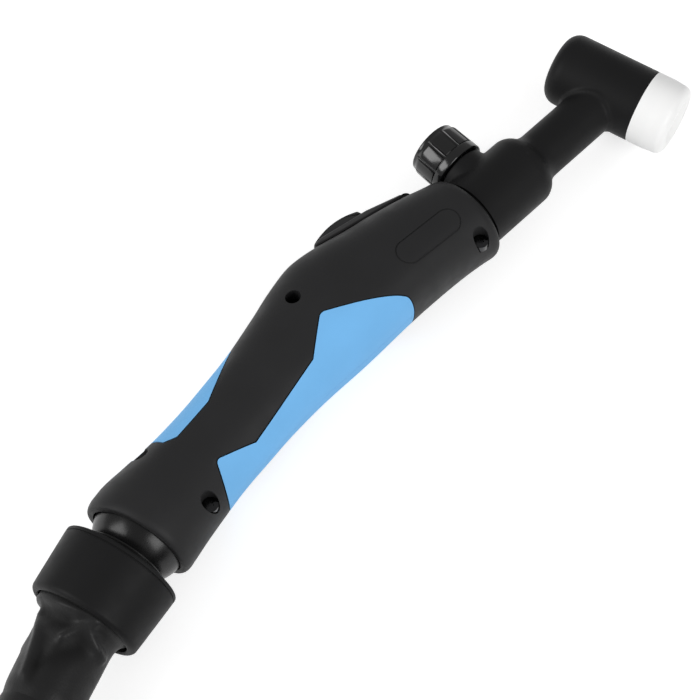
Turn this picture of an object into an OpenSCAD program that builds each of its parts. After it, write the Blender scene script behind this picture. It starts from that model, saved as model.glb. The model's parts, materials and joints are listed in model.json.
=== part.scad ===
/* [Head] */
// Radius of the black moulded barrel that the electrode runs through
barrel_r = 12.5; // [11:0.1:14]
// Length of the black barrel behind the neck axis
barrel_rear = 21; // [20:0.5:26]
// Length of the black barrel in front of the neck axis
barrel_front = 11.7; // [11:0.1:13]
// Rounding of the closed-looking rear edge of the barrel
barrel_fillet = 5; // [3:0.5:6]
// Turn of the barrel from the neck axis, negative towards the belly
nozzle_angle = -75.6; // [-80:0.2:-70]
// Radius of the slim neck
neck_r = 8.4; // [8:0.1:9]
// Where the neck starts to swell, measured from the barrel axis
neck_len = 36; // [33:0.5:38]
// Radius of the swollen part that holds the gas valve
bulge_r = 12.3; // [12:0.1:12.5]
// Length of the white front insulator
ring_len = 12.3; // [11:0.1:15]

/* [Valve] */
// Distance of the valve axis from the barrel axis
valve_at = 58.4; // [57:0.1:60]
// Radius of the knob's flange
knob_r = 9.9; // [9:0.1:10]
// Height of the knob's lower face above the neck axis when shut
knob_seat = 14.3; // [14:0.1:15]
// Height of the whole knob
knob_h = 12.9; // [12:0.1:14]
// Number of finger grooves round the knob
knob_grooves = 10; // [8:1:14]
// Radius of the valve stem
stem_r = 2.0; // [1.8:0.1:2.2]

/* [Handle] */
// Distance of the spine's front end from the barrel axis
handle_front = 67.5; // [66:0.5:69]
// How far the front rim stands behind the spine's front end
rim_at = 1.6; // [1:0.1:2]
// Length of the straight front part of the spine
handle_straight = 98.2; // [95:0.1:100]
// Radius of the bend between the straight part and the rear
bend_r = 180; // [170:1:190]
// Angle between the neck axis and the axis of the rear swivel
rear_angle = 14.6; // [13:0.1:16]
// Length of the handle along its spine
handle_len = 153.4; // [152:0.1:156]
// Wall thickness of the two shells
wall = 2.4; // [2:0.1:2.6]
// Depth of the soft grips in the shells
grip_t = 1.2; // [1:0.1:1.4]
// Gap round each soft grip
grip_gap = 0.35; // [0.3:0.05:0.5]

/* [Trigger] */
// Place of the trigger's pivot along the neck axis, from the barrel axis
pivot_at = 80.6; // [79:0.1:81]
// Height of the pivot above the neck axis
pivot_up = 17.1; // [16.6:0.1:17.4]
// Slope of the trigger plate at rest
trigger_slope = 9.6; // [9:0.1:10]
// Half the width of the trigger plate
trigger_half_w = 4.8; // [4.4:0.1:4.9]

/* [Rear swivel] */
// Radius of the ball
ball_r = 15; // [14.8:0.1:15.1]
// Largest radius of the collar nut
collar_r = 19.3; // [19:0.1:20]
// Radius of the collar nut at its rear edge
collar_rear_r = 18.2; // [17.6:0.1:18.8]
// Distance of the collar nut's rear face behind the ball centre
collar_end = 32.3; // [31:0.1:34]

/* [Cable] */
// Diameter of the sleeved cable
cable_d = 24; // [23:0.5:24]
// Radius of the outermost turn of the coil
coil_r = 156; // [150:1:160]
// Distance between turns and between layers
coil_pitch = 25; // [24.5:0.1:26]
// Turns of the lower layer, wound inwards
turns_in = 2; // [1.5:0.25:2]
// Turns of the upper layer, wound outwards
turns_out = 1.6; // [1.2:0.1:1.8]

/* [Plug] */
// Radius of the plug's coupling nut
plug_r = 19; // [18:0.5:19]
// Radius of the gas and current pin
plug_pin_r = 5; // [4.5:0.1:5.5]

/* [Hidden] */
$fn = 64;
// Running clearance of everything that turns or slides
run = 0.05;
// Clearance of pieces that are put together once
seat = 0.1;
// Small overlap that keeps a cut open
eps = 0.01;

// The whole torch lies on its side: its middle plane is level, at the collar's radius above
// the table, and the frame's origin is under the middle of its box.
lie_x = 119.1;
lie_y = 2.3;

module lie() {
    translate([lie_x, lie_y, collar_r]) children();
}

// Axes: each turns its children's Z into the named direction.
module nozzle_axis() {
    rotate([0, 0, nozzle_angle]) rotate([0, 90, 0]) children();
}

module neck_axis() {
    rotate([0, -90, 0]) children();
}

module valve_axis() {
    translate([-valve_at, 0, 0]) rotate([-90, 0, 0]) children();
}

// ---- Handle form -------------------------------------------------------------------------
// Spine of the handle: straight, then a bend of bend_r, then straight to the rear rim.
bend_len = bend_r * rear_angle * PI / 180;
function spine(u) =
    u <= handle_straight ? [-handle_front - u, 0, 0]
    : u <= handle_straight + bend_len ? spine_bend((u - handle_straight) * 180 / PI / bend_r)
    : spine_rear(u - handle_straight - bend_len);
function spine_bend(a) =
    [-handle_front - handle_straight - bend_r * sin(a), -bend_r * (1 - cos(a)), a];
function spine_rear(d) = let (e = spine_bend(rear_angle))
    [e.x - d * cos(rear_angle), e.y - d * sin(rear_angle), rear_angle];

// Height of the back over the spine, drop of the belly under it, and half thickness,
// each as [distance along the spine, size].
back_rise = [[0, 15], [7, 16.6], [14, 18.6], [27, 21.4], [37, 23.1], [46, 25], [53, 26],
    [59, 26], [69, 23.7], [78, 20.9], [94, 16.5], [108, 14], [118, 13.3], [128, 13.8],
    [138, 15.8], [146, 17.8], [154, 18.2]];
belly_drop = [[0, 15.8], [9, 14], [20, 12.9], [38, 12.5], [60, 13.3], [78, 13.5], [92, 14.5],
    [106, 16.1], [120, 16.9], [132, 17.5], [146, 17.7], [154, 17.7]];
half_thick = [[0, 15.6], [30, 15.7], [54, 15.8], [80, 15.2], [100, 14.6], [118, 14.8],
    [130, 15.9], [141, 17.4], [147, 17.9], [154, 18]];
// Squareness of the section: 2 is an ellipse.
squareness = [[0, 2], [20, 2.25], [54, 2.4], [95, 2.3], [125, 2.15], [143, 2], [154, 2]];
front_fillet = 3.2;
front_fillet_depth = 2.2;
rear_fillet = 3.2;
rear_fillet_depth = 1.2;

// Points on an arc
function arc(x, y, r, from, to, steps) =
    [for (i = [0 : steps]) let (a = from + (to - from) * i / steps) [x + r * cos(a), y + r * sin(a)]];

// Smooth curve through a table of [place, value].
function slope(t, i) = let (a = max(i - 1, 0), b = min(i + 1, len(t) - 1))
    (t[b][1] - t[a][1]) / (t[b][0] - t[a][0]);
function segment(t, x, i = 0) = (i >= len(t) - 2 || x < t[i + 1][0]) ? i : segment(t, x, i + 1);
function smooth(t, x) = let (
        i = segment(t, x),
        h = t[i + 1][0] - t[i][0],
        k = min(max((x - t[i][0]) / h, 0), 1)
    )
    t[i][1] * (2 * pow(k, 3) - 3 * pow(k, 2) + 1)
    + slope(t, i) * h * (pow(k, 3) - 2 * pow(k, 2) + k)
    + t[i + 1][1] * (3 * pow(k, 2) - 2 * pow(k, 3))
    + slope(t, i + 1) * h * (pow(k, 3) - pow(k, 2));

// How far the outside is drawn in by the rounded front and rear rims.
function rim_inset(u) = let (f = u - rim_at, r = handle_len - u)
    f < front_fillet ? front_fillet_depth * (1 - sqrt(1 - pow(1 - f / front_fillet, 2)))
    : r < rear_fillet ? rear_fillet_depth * (1 - sqrt(1 - pow(1 - r / rear_fillet, 2)))
    : 0;

// Half a section from the back (0 degrees) over the side to the belly (180 degrees). Towards
// the rear rim the sides reach less far back than the back and the belly, by rim_wave.
section_steps = 15;
rim_wave = 0.8;
rim_lean = 0.6;
function half_section(u, rise, drop, thick, n, wave = 0) = let (s = spine(u))
    [for (i = [0 : section_steps]) let (
            a = 180 * i / section_steps,
            c = pow(abs(cos(a)), 2 / n),
            v = a <= 90 ? rise * c : -drop * c,
            z = (i == 0 || i == section_steps) ? 0 : thick * pow(abs(sin(a)), 2 / n),
            f = wave * (rim_wave * pow(sin(a), 2) - rim_lean * cos(a))
        )
        [s.x - v * sin(s[2]) + f * cos(s[2]), s.y + v * cos(s[2]) + f * sin(s[2]), z]];
function rear_wave(u) = pow(min(max((u - handle_len + 12) / 12, 0), 1), 2);
function outer_section(u, inset) = let (d = inset + rim_inset(u))
    half_section(u, smooth(back_rise, u) - d, smooth(belly_drop, u) - d,
        smooth(half_thick, u) - d, smooth(squareness, u), rear_wave(u));

// The inside follows the wall, with a round lip at the front, a round seat for the swivel
// housing at the rear and a lip that holds it.
front_lip = 4.8;
front_mouth_r = bulge_r + 0.6;
housing_from = handle_len - 10.8;
rear_lip = 0.7;
housing_r = 16.7;
seat_r = (housing_r + run) / cos(90 / section_steps);
rear_mouth_r = 15.2;
function round_section(u, r, wave = 0) = half_section(u, r, r, r, 2, wave);
function inner_section(u) =
    u <= front_lip ? round_section(u, front_mouth_r)
    : u >= handle_len - rear_lip ? round_section(u, rear_mouth_r, 1)
    : u >= housing_from ? round_section(u, seat_r)
    : half_section(u, smooth(back_rise, u) - wall, smooth(belly_drop, u) - wall,
        smooth(half_thick, u) - wall, smooth(squareness, u));

function reversed(list) = [for (i = [len(list) - 1 : -1 : 0]) list[i]];
rim_steps = 4;
stations = [
    for (i = [0 : rim_steps]) rim_at + front_fillet * (1 - cos(90 * i / rim_steps)),
    front_lip + 0.2,
    for (u = [9 : 5 : 139]) u,
    housing_from - 0.2, housing_from, 146,
    for (i = [0 : rim_steps]) handle_len - rear_fillet * (1 - sin(90 * i / rim_steps)),
    handle_len - rear_lip - 0.1, handle_len - rear_lip
];
sorted_stations = sorted(stations);
function sorted(v) = len(v) <= 1 ? v : let (p = v[floor(len(v) / 2)])
    concat(sorted([for (x = v) if (x < p) x]), [p], sorted([for (x = v) if (x > p) x]));

// A solid through a row of rings with the same number of points.
module skin(rings) {
    n = len(rings[0]);
    m = len(rings);
    polyhedron(
        points = [for (r = rings) each r],
        faces = [
            [for (i = [n - 1 : -1 : 0]) i],
            for (j = [0 : m - 2]) for (i = [0 : n - 1]) each [
                [j * n + i, (j + 1) * n + (i + 1) % n, (j + 1) * n + i],
                [j * n + i, j * n + (i + 1) % n, (j + 1) * n + (i + 1) % n]
            ],
            [for (i = [0 : n - 1]) (m - 1) * n + i]
        ],
        convexity = 8
    );
}

// The left half of the handle as a full solid, drawn in by inset.
module half_form(inset) {
    skin([for (u = sorted_stations) outer_section(u, inset)]);
}

// The left half of the handle as a wall.
module half_wall() {
    skin([for (u = sorted_stations) concat(outer_section(u, 0), reversed(inner_section(u)))]);
}

// Keeps a cut and lofted shell one mesh.
module one_mesh() {
    resize([0, 0, 0]) children();
}

// Side views of the soft grips, and of the plain oval outline on the side.
belly_outline = [[-107, -24], [-106, -13.4], [-107.2, -10.3], [-110.4, -8.4], [-132.7, 3.3],
    [-145, -6.3], [-175, -12.7], [-188.5, -9.6], [-195, -24]];
back_outline = [[-155, 24], [-158.6, 15.5], [-177, 5.4], [-192, 3.1], [-196, 5], [-201, 22]];
grip_round = 2;
module grip_region(outline, grow) {
    offset(r = grow) offset(r = grip_round, $fn = 24) offset(delta = -grip_round)
        polygon(outline);
}

module grip_pocket(outline) {
    difference() {
        translate([0, 0, -1]) linear_extrude(30) grip_region(outline, 0);
        half_form(grip_t);
    }
}

// A soft grip, in the left shell's pocket.
module half_grip(outline) {
    one_mesh() intersection() {
        difference() {
            half_form(0);
            half_form(grip_t - run);
        }
        translate([0, 0, run]) linear_extrude(30) grip_region(outline, -grip_gap);
    }
}

// Plain oval outline cut into each side
oval_a = [-81.7, -1.9];
oval_b = [-98.1, -1.1];
oval_r = 4.3;
oval_line = 0.5;
module oval(r) {
    hull() {
        translate(oval_a) circle(r, $fn = 24);
        translate(oval_b) circle(r, $fn = 24);
    }
}

module oval_groove() {
    difference() {
        linear_extrude(30) difference() {
            oval(oval_r);
            oval(oval_r - oval_line);
        }
        half_form(0.4);
    }
}

// ---- Screws of the handle ----------------------------------------------------------------
// Each screw: [x, y, radius of its recess, height of the recess floor]
screw_places = [[-75.9, -11.5, 2.7, 4.6], [-134.4, 13.3, 2.5, 5], [-197.9, -17.3, 2.7, 4.6]];
// Open recess of the rear clip, at the edge of the back
clip_place = [-202.4, 9.4];
clip_r = 3;
clip_floor = 4;
screw_shank_r = 1.45;
screw_head_h = 1.6;
boss_r = 3.3;
insert_r = 1.9;
insert_len = 4;

module bosses() {
    intersection() {
        for (p = concat(screw_places, [clip_place]))
            translate([p.x, p.y, 0]) cylinder(r = boss_r, h = 30, $fn = 20);
        half_form(wall / 2);
    }
}

// Cuts that both shells share: the knob's scoop and the trigger's opening
module shell_cuts() {
    valve_axis() translate([0, 0, knob_seat - 1]) cylinder(r = knob_r + 0.6, h = 20, $fn = 40);
    valve_axis() translate([0, 0, knob_seat + 1.8]) cylinder(r1 = 10, r2 = 19, h = 7, $fn = 40);
    trigger_frame() translate([-36.8, -9, -opening_half_w])
        cube([41, 24, 2 * opening_half_w]);
}

module half_shell() {
    difference() {
        union() {
            half_wall();
            bosses();
        }
        shell_cuts();
        grip_pocket(belly_outline);
        grip_pocket(back_outline);
        oval_groove();
        translate([clip_place.x, clip_place.y, clip_floor]) cylinder(r = clip_r, h = 20, $fn = 20);
    }
}

module handle_shell_left() {
    color("#2b2b2d") lie() one_mesh() difference() {
        half_shell();
        for (p = screw_places) translate([p.x, p.y, 0]) {
            translate([0, 0, p[3]]) cylinder(r = p[2], h = 30, $fn = 24);
            translate([0, 0, -1]) cylinder(r = screw_shank_r + 0.25, h = 12, $fn = 16);
        }
    }
}

module handle_shell_right() {
    color("#2b2b2d") lie() mirror([0, 0, 1]) one_mesh() difference() {
        half_shell();
        for (p = screw_places) translate([p.x, p.y, -1])
            cylinder(r = insert_r + seat, h = insert_len + 1 + seat, $fn = 24);
    }
}

module belly_grip_left() {
    color("#75b6ea") lie() half_grip(belly_outline);
}

module belly_grip_right() {
    color("#75b6ea") lie() mirror([0, 0, 1]) half_grip(belly_outline);
}

module back_grip_left() {
    color("#75b6ea") lie() half_grip(back_outline);
}

module back_grip_right() {
    color("#75b6ea") lie() mirror([0, 0, 1]) half_grip(back_outline);
}

// Pan-head screws with a crossed recess
module shell_screws() {
    color("#303033") lie() for (p = screw_places) translate([p.x, p.y, 0]) difference() {
        union() {
            translate([0, 0, p[3] + eps]) cylinder(r = p[2] - 0.15, h = screw_head_h);
            translate([0, 0, 1 - insert_len]) cylinder(r = screw_shank_r, h = insert_len + p[3]);
        }
        for (a = [0, 90]) rotate([0, 0, a])
            translate([-1.3, -0.3, p[3] + screw_head_h - 1]) cube([2.6, 0.6, 2]);
    }
}

// Threaded brass inserts in the right shell
module shell_inserts() {
    color("#b5893a") lie() for (p = screw_places)
        translate([p.x, p.y, -insert_len - 0.05]) difference() {
            cylinder(r = insert_r, h = insert_len);
            translate([0, 0, -1]) cylinder(r = screw_shank_r + run, h = insert_len + 2);
        }
}

// ---- Head --------------------------------------------------------------------------------
body_tube_r = 7;
body_front = 20;
tail_r = 7.4;
bulge_end = 71.5;
tail_end = 84;
swell_len = 9;
boss_height = 14;
boss_out_r = 9;
gland_r = 4.6;
block_r = 7.6;
block_from = 50;
block_to = 72.4;
spigot_r = 5;
spigot_to = 92;
tube_r = 4;
gas_r = 2;
tube_socket = 5.4;
tube_end = 54.2;

// Outline of the barrel, rounded at its rear edge
module barrel_profile() {
    polygon([
        [0, barrel_front], [0, -barrel_rear],
        each arc(barrel_r - barrel_fillet, -barrel_rear + barrel_fillet, barrel_fillet, -90, 0, 8),
        [barrel_r, barrel_front]
    ]);
}

// Outline of the neck, its swelling and the tail inside the handle: the swelling is two arcs
// that meet halfway up the step.
swell_step = bulge_r - neck_r;
swell_arc_r = (pow(swell_len, 2) / 4 + pow(swell_step, 2) / 4) / swell_step;
swell_arc_a = asin(swell_len / 2 / swell_arc_r);
swell_steps = 8;
module neck_profile() {
    polygon([
        [0, 0], [neck_r, 0],
        for (i = [0 : swell_steps]) let (a = swell_arc_a * i / swell_steps)
            [neck_r + swell_arc_r * (1 - cos(a)), neck_len + swell_arc_r * sin(a)],
        for (i = [swell_steps : -1 : 0]) let (a = swell_arc_a * i / swell_steps)
            [bulge_r - swell_arc_r * (1 - cos(a)), neck_len + swell_len - swell_arc_r * sin(a)],
        [bulge_r, bulge_end], [10, bulge_end], [10, 74], [tail_r, 74], [tail_r, tail_end],
        [0, tail_end]
    ]);
}

// One moulding: barrel, neck, valve bulge and the boss that the knob sits over
module head_insulator() {
    color("#222223") lie() difference() {
        union() {
            nozzle_axis() rotate_extrude($fn = 96) barrel_profile();
            neck_axis() rotate_extrude($fn = 96) neck_profile();
            intersection() {
                neck_axis() cylinder(r = neck_r + 0.6, h = 20);
                nozzle_axis() translate([0, 0, -20]) cylinder(r = barrel_r + 0.35, h = 40);
            }
            valve_axis() cylinder(r = boss_out_r, h = boss_height);
        }
        nozzle_axis() translate([0, 0, -30]) cylinder(r = body_tube_r + run, h = 50);
        neck_axis() cylinder(r = tube_r + run, h = block_from + 1);
        neck_axis() translate([0, 0, block_from - run])
            cylinder(r = block_r + run, h = block_to - block_from + 2 * run);
        neck_axis() translate([0, 0, block_to - 1]) cylinder(r = spigot_r + run, h = 20);
        valve_axis() cylinder(r = gland_r + run, h = 20);
    }
}

// Brass barrel with the collet thread in front and the cap thread behind
collet_thread_r = 4.4;
collet_thread_len = 10;
cap_thread_r = 4.8;
cap_thread_len = 9;
module head_body() {
    color("#b5893a") lie() difference() {
        nozzle_axis() translate([0, 0, -barrel_rear + 1.5])
            cylinder(r = body_tube_r, h = body_front + barrel_rear - 1.5);
        nozzle_axis() translate([0, 0, -30]) cylinder(r = 3.6, h = 60);
        nozzle_axis() translate([0, 0, body_front - collet_thread_len])
            cylinder(r = collet_thread_r, h = collet_thread_len + 1);
        nozzle_axis() translate([0, 0, -barrel_rear])
            cylinder(r = cap_thread_r, h = cap_thread_len + 1.5);
        neck_axis() cylinder(r = gas_r, h = 10);
        neck_axis() translate([0, 0, tube_socket]) cylinder(r = tube_r + run, h = 10);
    }
}

// Copper tube that brings gas and current through the neck
module neck_tube() {
    color("#a9683c") lie() neck_axis() difference() {
        translate([0, 0, tube_socket + run]) cylinder(r = tube_r, h = tube_end - tube_socket);
        cylinder(r = gas_r, h = 80);
    }
}

// White front insulator that the nozzle seats on, dished round its hole
ring_front = barrel_front + ring_len;
ring_corner_r = 2.8;
ring_hole_r = 4.7;
ring_dish_r = 7.4;
module front_insulator_ring() {
    color("#f3f2ee") lie() nozzle_axis() difference() {
        rotate_extrude($fn = 96) polygon([
            [3, barrel_front + run], [barrel_r, barrel_front + run], [barrel_r, barrel_front + 5.3],
            each arc(barrel_r - 0.3 - ring_corner_r, ring_front - ring_corner_r, ring_corner_r, 4, 90, 7),
            [ring_dish_r, ring_front], [3, ring_front - 3.1]
        ]);
        cylinder(r = body_tube_r + run, h = body_front + run);
        cylinder(r = ring_hole_r, h = 60);
    }
}

// ---- Gas valve ---------------------------------------------------------------------------
bore_r = 3;
seat_up = 1.2;
ring_up = 4.8;
ring_h = 1.4;

// Brass block with the valve seat across it and a spigot for the power cable
module valve_block() {
    color("#b5893a") lie() difference() {
        neck_axis() union() {
            translate([0, 0, block_from]) cylinder(r = block_r, h = block_to - block_from);
            translate([0, 0, block_to - 1]) cylinder(r = spigot_r, h = spigot_to - block_to + 1);
        }
        neck_axis() translate([0, 0, block_from - 1]) cylinder(r = tube_r + run, h = 5.4);
        neck_axis() translate([0, 0, block_from]) cylinder(r = gas_r, h = 60);
        valve_axis() translate([0, 0, seat_up + 1.2]) cylinder(r = bore_r, h = 20);
        valve_axis() cylinder(r = stem_r + run, h = 20);
        valve_axis() translate([0, 0, block_r - 0.9]) cylinder(r = gland_r + 1, h = 10);
    }
}

// Gland nut that holds the stem in
module valve_gland() {
    color("#b5893a") lie() valve_axis() difference() {
        translate([0, 0, block_r - 0.85])
            cylinder(r = gland_r, h = boss_height - block_r + 0.6);
        cylinder(r = stem_r + run, h = 30);
    }
}

// Seal ring on the stem
module valve_o_ring() {
    color("#1c1c1c") lie() valve_axis() translate([0, 0, ring_up]) rotate_extrude()
        translate([stem_r + run, 0]) intersection() {
            square([bore_r - stem_r - 2 * run, ring_h]);
            translate([(bore_r - stem_r - 2 * run) / 2, ring_h / 2]) circle(ring_h / 2);
        }
}

// Needle stem: it reaches through the gland into the knob
stem_top = knob_seat + 8;
module valve_stem() {
    color("#b5893a") lie() valve_axis() {
        translate([0, 0, seat_up]) cylinder(r1 = 0.6, r2 = stem_r, h = 1.6);
        translate([0, 0, seat_up + 1.6]) cylinder(r = stem_r, h = stem_top - seat_up - 1.6);
    }
}

// Knob: a smooth flange under ten broad lands with narrow grooves between them
flange_h = 3.1;
land_r = 9.55;
land_top_r = 9.15;
groove_w = 1.3;
groove_depth = 1.0;
hub_r = 5.6;
module valve_knob() {
    color("#161617") lie() valve_axis() translate([0, 0, knob_seat]) difference() {
        rotate_extrude($fn = 96) polygon([
            [0, 0], [knob_r - 0.7, 0], [knob_r, 0.7], [knob_r, flange_h - 0.3],
            [knob_r - 0.25, flange_h], [land_r - 0.35, flange_h], [land_r - 0.35, flange_h + 0.3],
            [land_r, flange_h + 0.3], [land_top_r, knob_h - 1], [land_top_r - 0.3, knob_h - 0.3],
            [land_top_r - 1, knob_h], [6.6, knob_h], [6.2, knob_h - 0.6], [0, knob_h - 0.6]
        ]);
        for (i = [0 : knob_grooves - 1]) rotate([0, 0, (i + 0.35) * 360 / knob_grooves])
            translate([land_top_r - groove_depth, -groove_w / 2, flange_h + 0.3])
                cube([4, groove_w, knob_h]);
        translate([0, 0, -1]) cylinder(r = stem_r + seat, h = stem_top - knob_seat + 1);
        translate([0, 0, -1]) difference() {
            cylinder(r = knob_r - 1.6, h = 2.4);
            cylinder(r = hub_r, h = 3);
        }
        translate([0, 0, stem_top - knob_seat]) cylinder(r = 1.3, h = 10);
        translate([0, 0, knob_h - 2.6]) cylinder(r = 2.7, h = 5);
    }
}

// Screw that holds the knob on the stem
module knob_screw() {
    color("#9a9a9c") lie() valve_axis() difference() {
        union() {
            translate([0, 0, knob_seat + knob_h - 2.55]) cylinder(r = 2.5, h = 1.5);
            translate([0, 0, stem_top + seat]) cylinder(r = 1.2, h = knob_h + knob_seat - stem_top - 2);
        }
        translate([-3, -0.35, knob_seat + knob_h - 1.7]) cube([6, 0.7, 2]);
    }
}

// ---- Trigger and switch ------------------------------------------------------------------
plate_t = 1.6;
plate_up = 1.7;
plate_rear = 33.6;
plate_front = 1.8;
opening_half_w = 5.3;
pin_r = 1;
eye_r = 1.6;
eye_half_w = 2.6;
ear_t = 1.7;
ear_r = 2.2;
rib_at = 19.4;
plunger_r = 1.2;
switch_top = 18.4;
switch_h = 9.2;
plunger_top = 20.2;

// Local frame of the trigger at rest: its pivot is the origin and its rear end is at -X.
module trigger_frame() {
    translate([-pivot_at, pivot_up, 0]) rotate([0, 0, -trigger_slope]) children();
}

// Light plate with its pivot eye and the rib that presses the switch
module trigger_plate() {
    color("#8d8f92") lie() difference() {
        union() {
            trigger_frame() translate([0, 0, -trigger_half_w]) linear_extrude(2 * trigger_half_w)
                polygon([[-plate_rear, plate_up], [-plate_front, plate_up], [-plate_front, plate_up + 0.6],
                    [-13, plate_up + plate_t], [-plate_rear, plate_up + plate_t]]);
            trigger_frame() translate([0, 0, -eye_half_w]) cylinder(r = eye_r, h = 2 * eye_half_w);
            trigger_frame() translate([-plate_front - 1, 0.4, -eye_half_w])
                cube([plate_front + 1.2, plate_up + 0.2, 2 * eye_half_w]);
            translate([-pivot_at - rib_at - 1.4, plunger_top + 0.15, -2])
                cube([2.8, 3, 4]);
        }
        trigger_frame() translate([0, 0, -10]) cylinder(r = pin_r + run, h = 20);
    }
}

// Domed thumb pad on the plate
pad_top = 7.15;
pad_peak = -22;
pad_sweep_r = 23.8;
pad_nose = [-18.6, 2.8];
pad_nose_r = 4;
pad_crown_r = 11;
pad_half_w = 4.7;
module trigger_pad() {
    base = plate_up + plate_t;
    color("#262627") lie() trigger_frame() intersection() {
        translate([0, 0, -pad_half_w]) linear_extrude(2 * pad_half_w) polygon([
            [-plate_rear + 0.6, base],
            [-plate_rear + 0.6, pad_top + 1],
            [pad_nose.x, pad_top + 1],
            each arc(pad_nose.x, pad_nose.y, pad_nose_r, 66, 12, 4),
            [pad_nose.x + pad_nose_r, base]
        ]);
        translate([pad_peak, pad_top - pad_sweep_r, 0]) rotate_extrude($fn = 128)
            intersection() {
                translate([pad_sweep_r - pad_crown_r, 0]) circle(pad_crown_r, $fn = 96);
                translate([pad_sweep_r - 8, -6]) square([10, 12]);
            }
    }
}

module trigger_pin() {
    color("#9a9a9c") lie() trigger_frame() translate([0, 0, -eye_half_w - ear_t])
        cylinder(r = pin_r, h = 2 * (eye_half_w + ear_t));
}

// Carrier between the shells: it holds the switch and the trigger's pin
switch_front = 90;
switch_rear = 110;
switch_half_w = 3.2;
cheek_t = 1.4;
module switch_carrier() {
    ear_in = eye_half_w + 0.3;
    color("#1f1f20") lie() difference() {
        union() {
            for (s = [-1, 1]) {
                translate([-switch_rear - 2, switch_top - switch_h - 1,
                    s > 0 ? switch_half_w + run : -switch_half_w - run - cheek_t])
                    cube([switch_rear + 2 - pivot_at, switch_h, cheek_t]);
                translate([-pivot_at - 5, 8.2, s > 0 ? ear_in : -ear_in - ear_t])
                    cube([7.2, pivot_up - 8.2, ear_t]);
                trigger_frame() translate([0, 0, s > 0 ? ear_in : -ear_in - ear_t])
                    cylinder(r = ear_r, h = ear_t);
            }
            translate([-switch_front + run, 8.2, -4.6]) cube([7, 7, 9.2]);
            translate([-switch_rear - 3, 9.6, -4.6]) cube([3 - run, 5.6, 9.2]);
        }
        trigger_frame() translate([0, 0, -10]) cylinder(r = pin_r + 0.02, h = 20);
    }
}

module switch_body() {
    color("#3a3a3c") lie() difference() {
        translate([-switch_rear, switch_top - switch_h, -switch_half_w])
            cube([switch_rear - switch_front, switch_h, 2 * switch_half_w]);
        translate([-pivot_at - rib_at, switch_top - 4.4, 0]) rotate([-90, 0, 0])
            cylinder(r = plunger_r + run, h = 10);
        for (x = [-switch_front - 4, -switch_rear + 4]) translate([x, switch_top - 7, -10])
            cylinder(r = 1.1, h = 20);
    }
}

module switch_plunger() {
    color("#c8402e") lie() translate([-pivot_at - rib_at, plunger_top - 3.4, 0])
        rotate([-90, 0, 0]) cylinder(r = plunger_r, h = 3.4);
}

// Two solder lugs
module switch_terminals() {
    color("#c9b37a") lie() for (x = [-switch_front - 3, -switch_rear + 3])
        translate([x - 1.6, 7.1, -0.3]) cube([3.2, switch_top - switch_h - 7.1, 0.6]);
}

// A round tube through a row of points, its rings square to the route
function unit(v) = v / norm(v);
function route_dir(p, i) = unit(p[min(i + 1, len(p) - 1)] - p[max(i - 1, 0)]);
function route_ring(p, i, r, sides) = let (
        d = route_dir(p, i),
        side = unit(cross(d, [0, 0, 1])),
        up = cross(side, d)
    )
    [for (k = [0 : sides - 1]) let (a = 360 * (k + 0.5) / sides)
        p[i] + r * (cos(a) * side + sin(a) * up)];
module tube(p, r, sides) {
    skin([for (i = [0 : len(p) - 1]) route_ring(p, i, r, sides)]);
}

// Points at distance v above the spine and z beside it
function beside_spine(u, v, z) = let (s = spine(u))
    [s.x - v * sin(s[2]), s.y + v * cos(s[2]), z];

// The two leads of the switch, along the spine above the hose
lead_r = 0.9;
module switch_leads() {
    color("#7c2f2b") lie() for (s = [-1, 1]) tube([
        [s > 0 ? -switch_front - 5.5 : -switch_rear + 0.5, 7.8, s * 1.6],
        for (u = [46 : 9 : 136]) beside_spine(u, 8.2 + 0.2 * s, s * 2.2)
    ], lead_r, 6);
}

// ---- Power cable inside the handle -------------------------------------------------------
hose_r = 6;
barb_r = 4.2;
nut_from = 84.4;
nut_to = 96;
ferrule_from = 100;
ferrule_to = 120;

// Hexagon nut on the valve block's spigot
module power_nut() {
    color("#b5893a") lie() neck_axis() difference() {
        translate([0, 0, nut_from]) cylinder(r = 7, h = nut_to - nut_from, $fn = 6);
        cylinder(r = spigot_r + run, h = spigot_to + 0.5);
        cylinder(r = barb_r + run, h = 200);
    }
}

module hose_barb() {
    color("#b5893a") lie() neck_axis() difference() {
        union() {
            translate([0, 0, spigot_to + run]) cylinder(r = 4.9, h = 0.4);
            translate([0, 0, spigot_to + run]) cylinder(r = barb_r, h = ferrule_to - spigot_to - 1);
        }
        cylinder(r = gas_r, h = 200);
    }
}

// Crimped ferrule over the hose end
module hose_ferrule() {
    color("#a8a9ab") lie() neck_axis() difference() {
        translate([0, 0, ferrule_from]) cylinder(r = hose_r + 0.8, h = ferrule_to - ferrule_from);
        cylinder(r = hose_r + run, h = 200);
        for (z = [104, 109, 114]) translate([0, 0, z]) difference() {
            cylinder(r = 9, h = 1.6);
            cylinder(r = hose_r + 0.4, h = 1.6);
        }
    }
}

// Hose from the barb to the swivel
hose_end_u = 140;
module inner_hose_front() {
    color("#3b3b3d") lie() {
        neck_axis() difference() {
            translate([0, 0, ferrule_from + 0.5]) cylinder(r = hose_r, h = 21);
            cylinder(r = barb_r + run, h = ferrule_to - 0.9);
        }
        tube([for (u = [53, 62, 75, 90, 97, 106, 115, 124, 133, hose_end_u])
            beside_spine(u, 0, 0)], hose_r - 0.1, 12);
    }
}

// ---- Rear swivel -------------------------------------------------------------------------
// The ball's centre lies on the spine; Z of this frame runs back along the rear axis.
ball_u = handle_len - 3.1;
ball_at = spine(ball_u);
module rear_axis() {
    translate([ball_at.x, ball_at.y, 0]) rotate([0, 0, rear_angle]) rotate([0, -90, 0])
        children();
}

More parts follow.
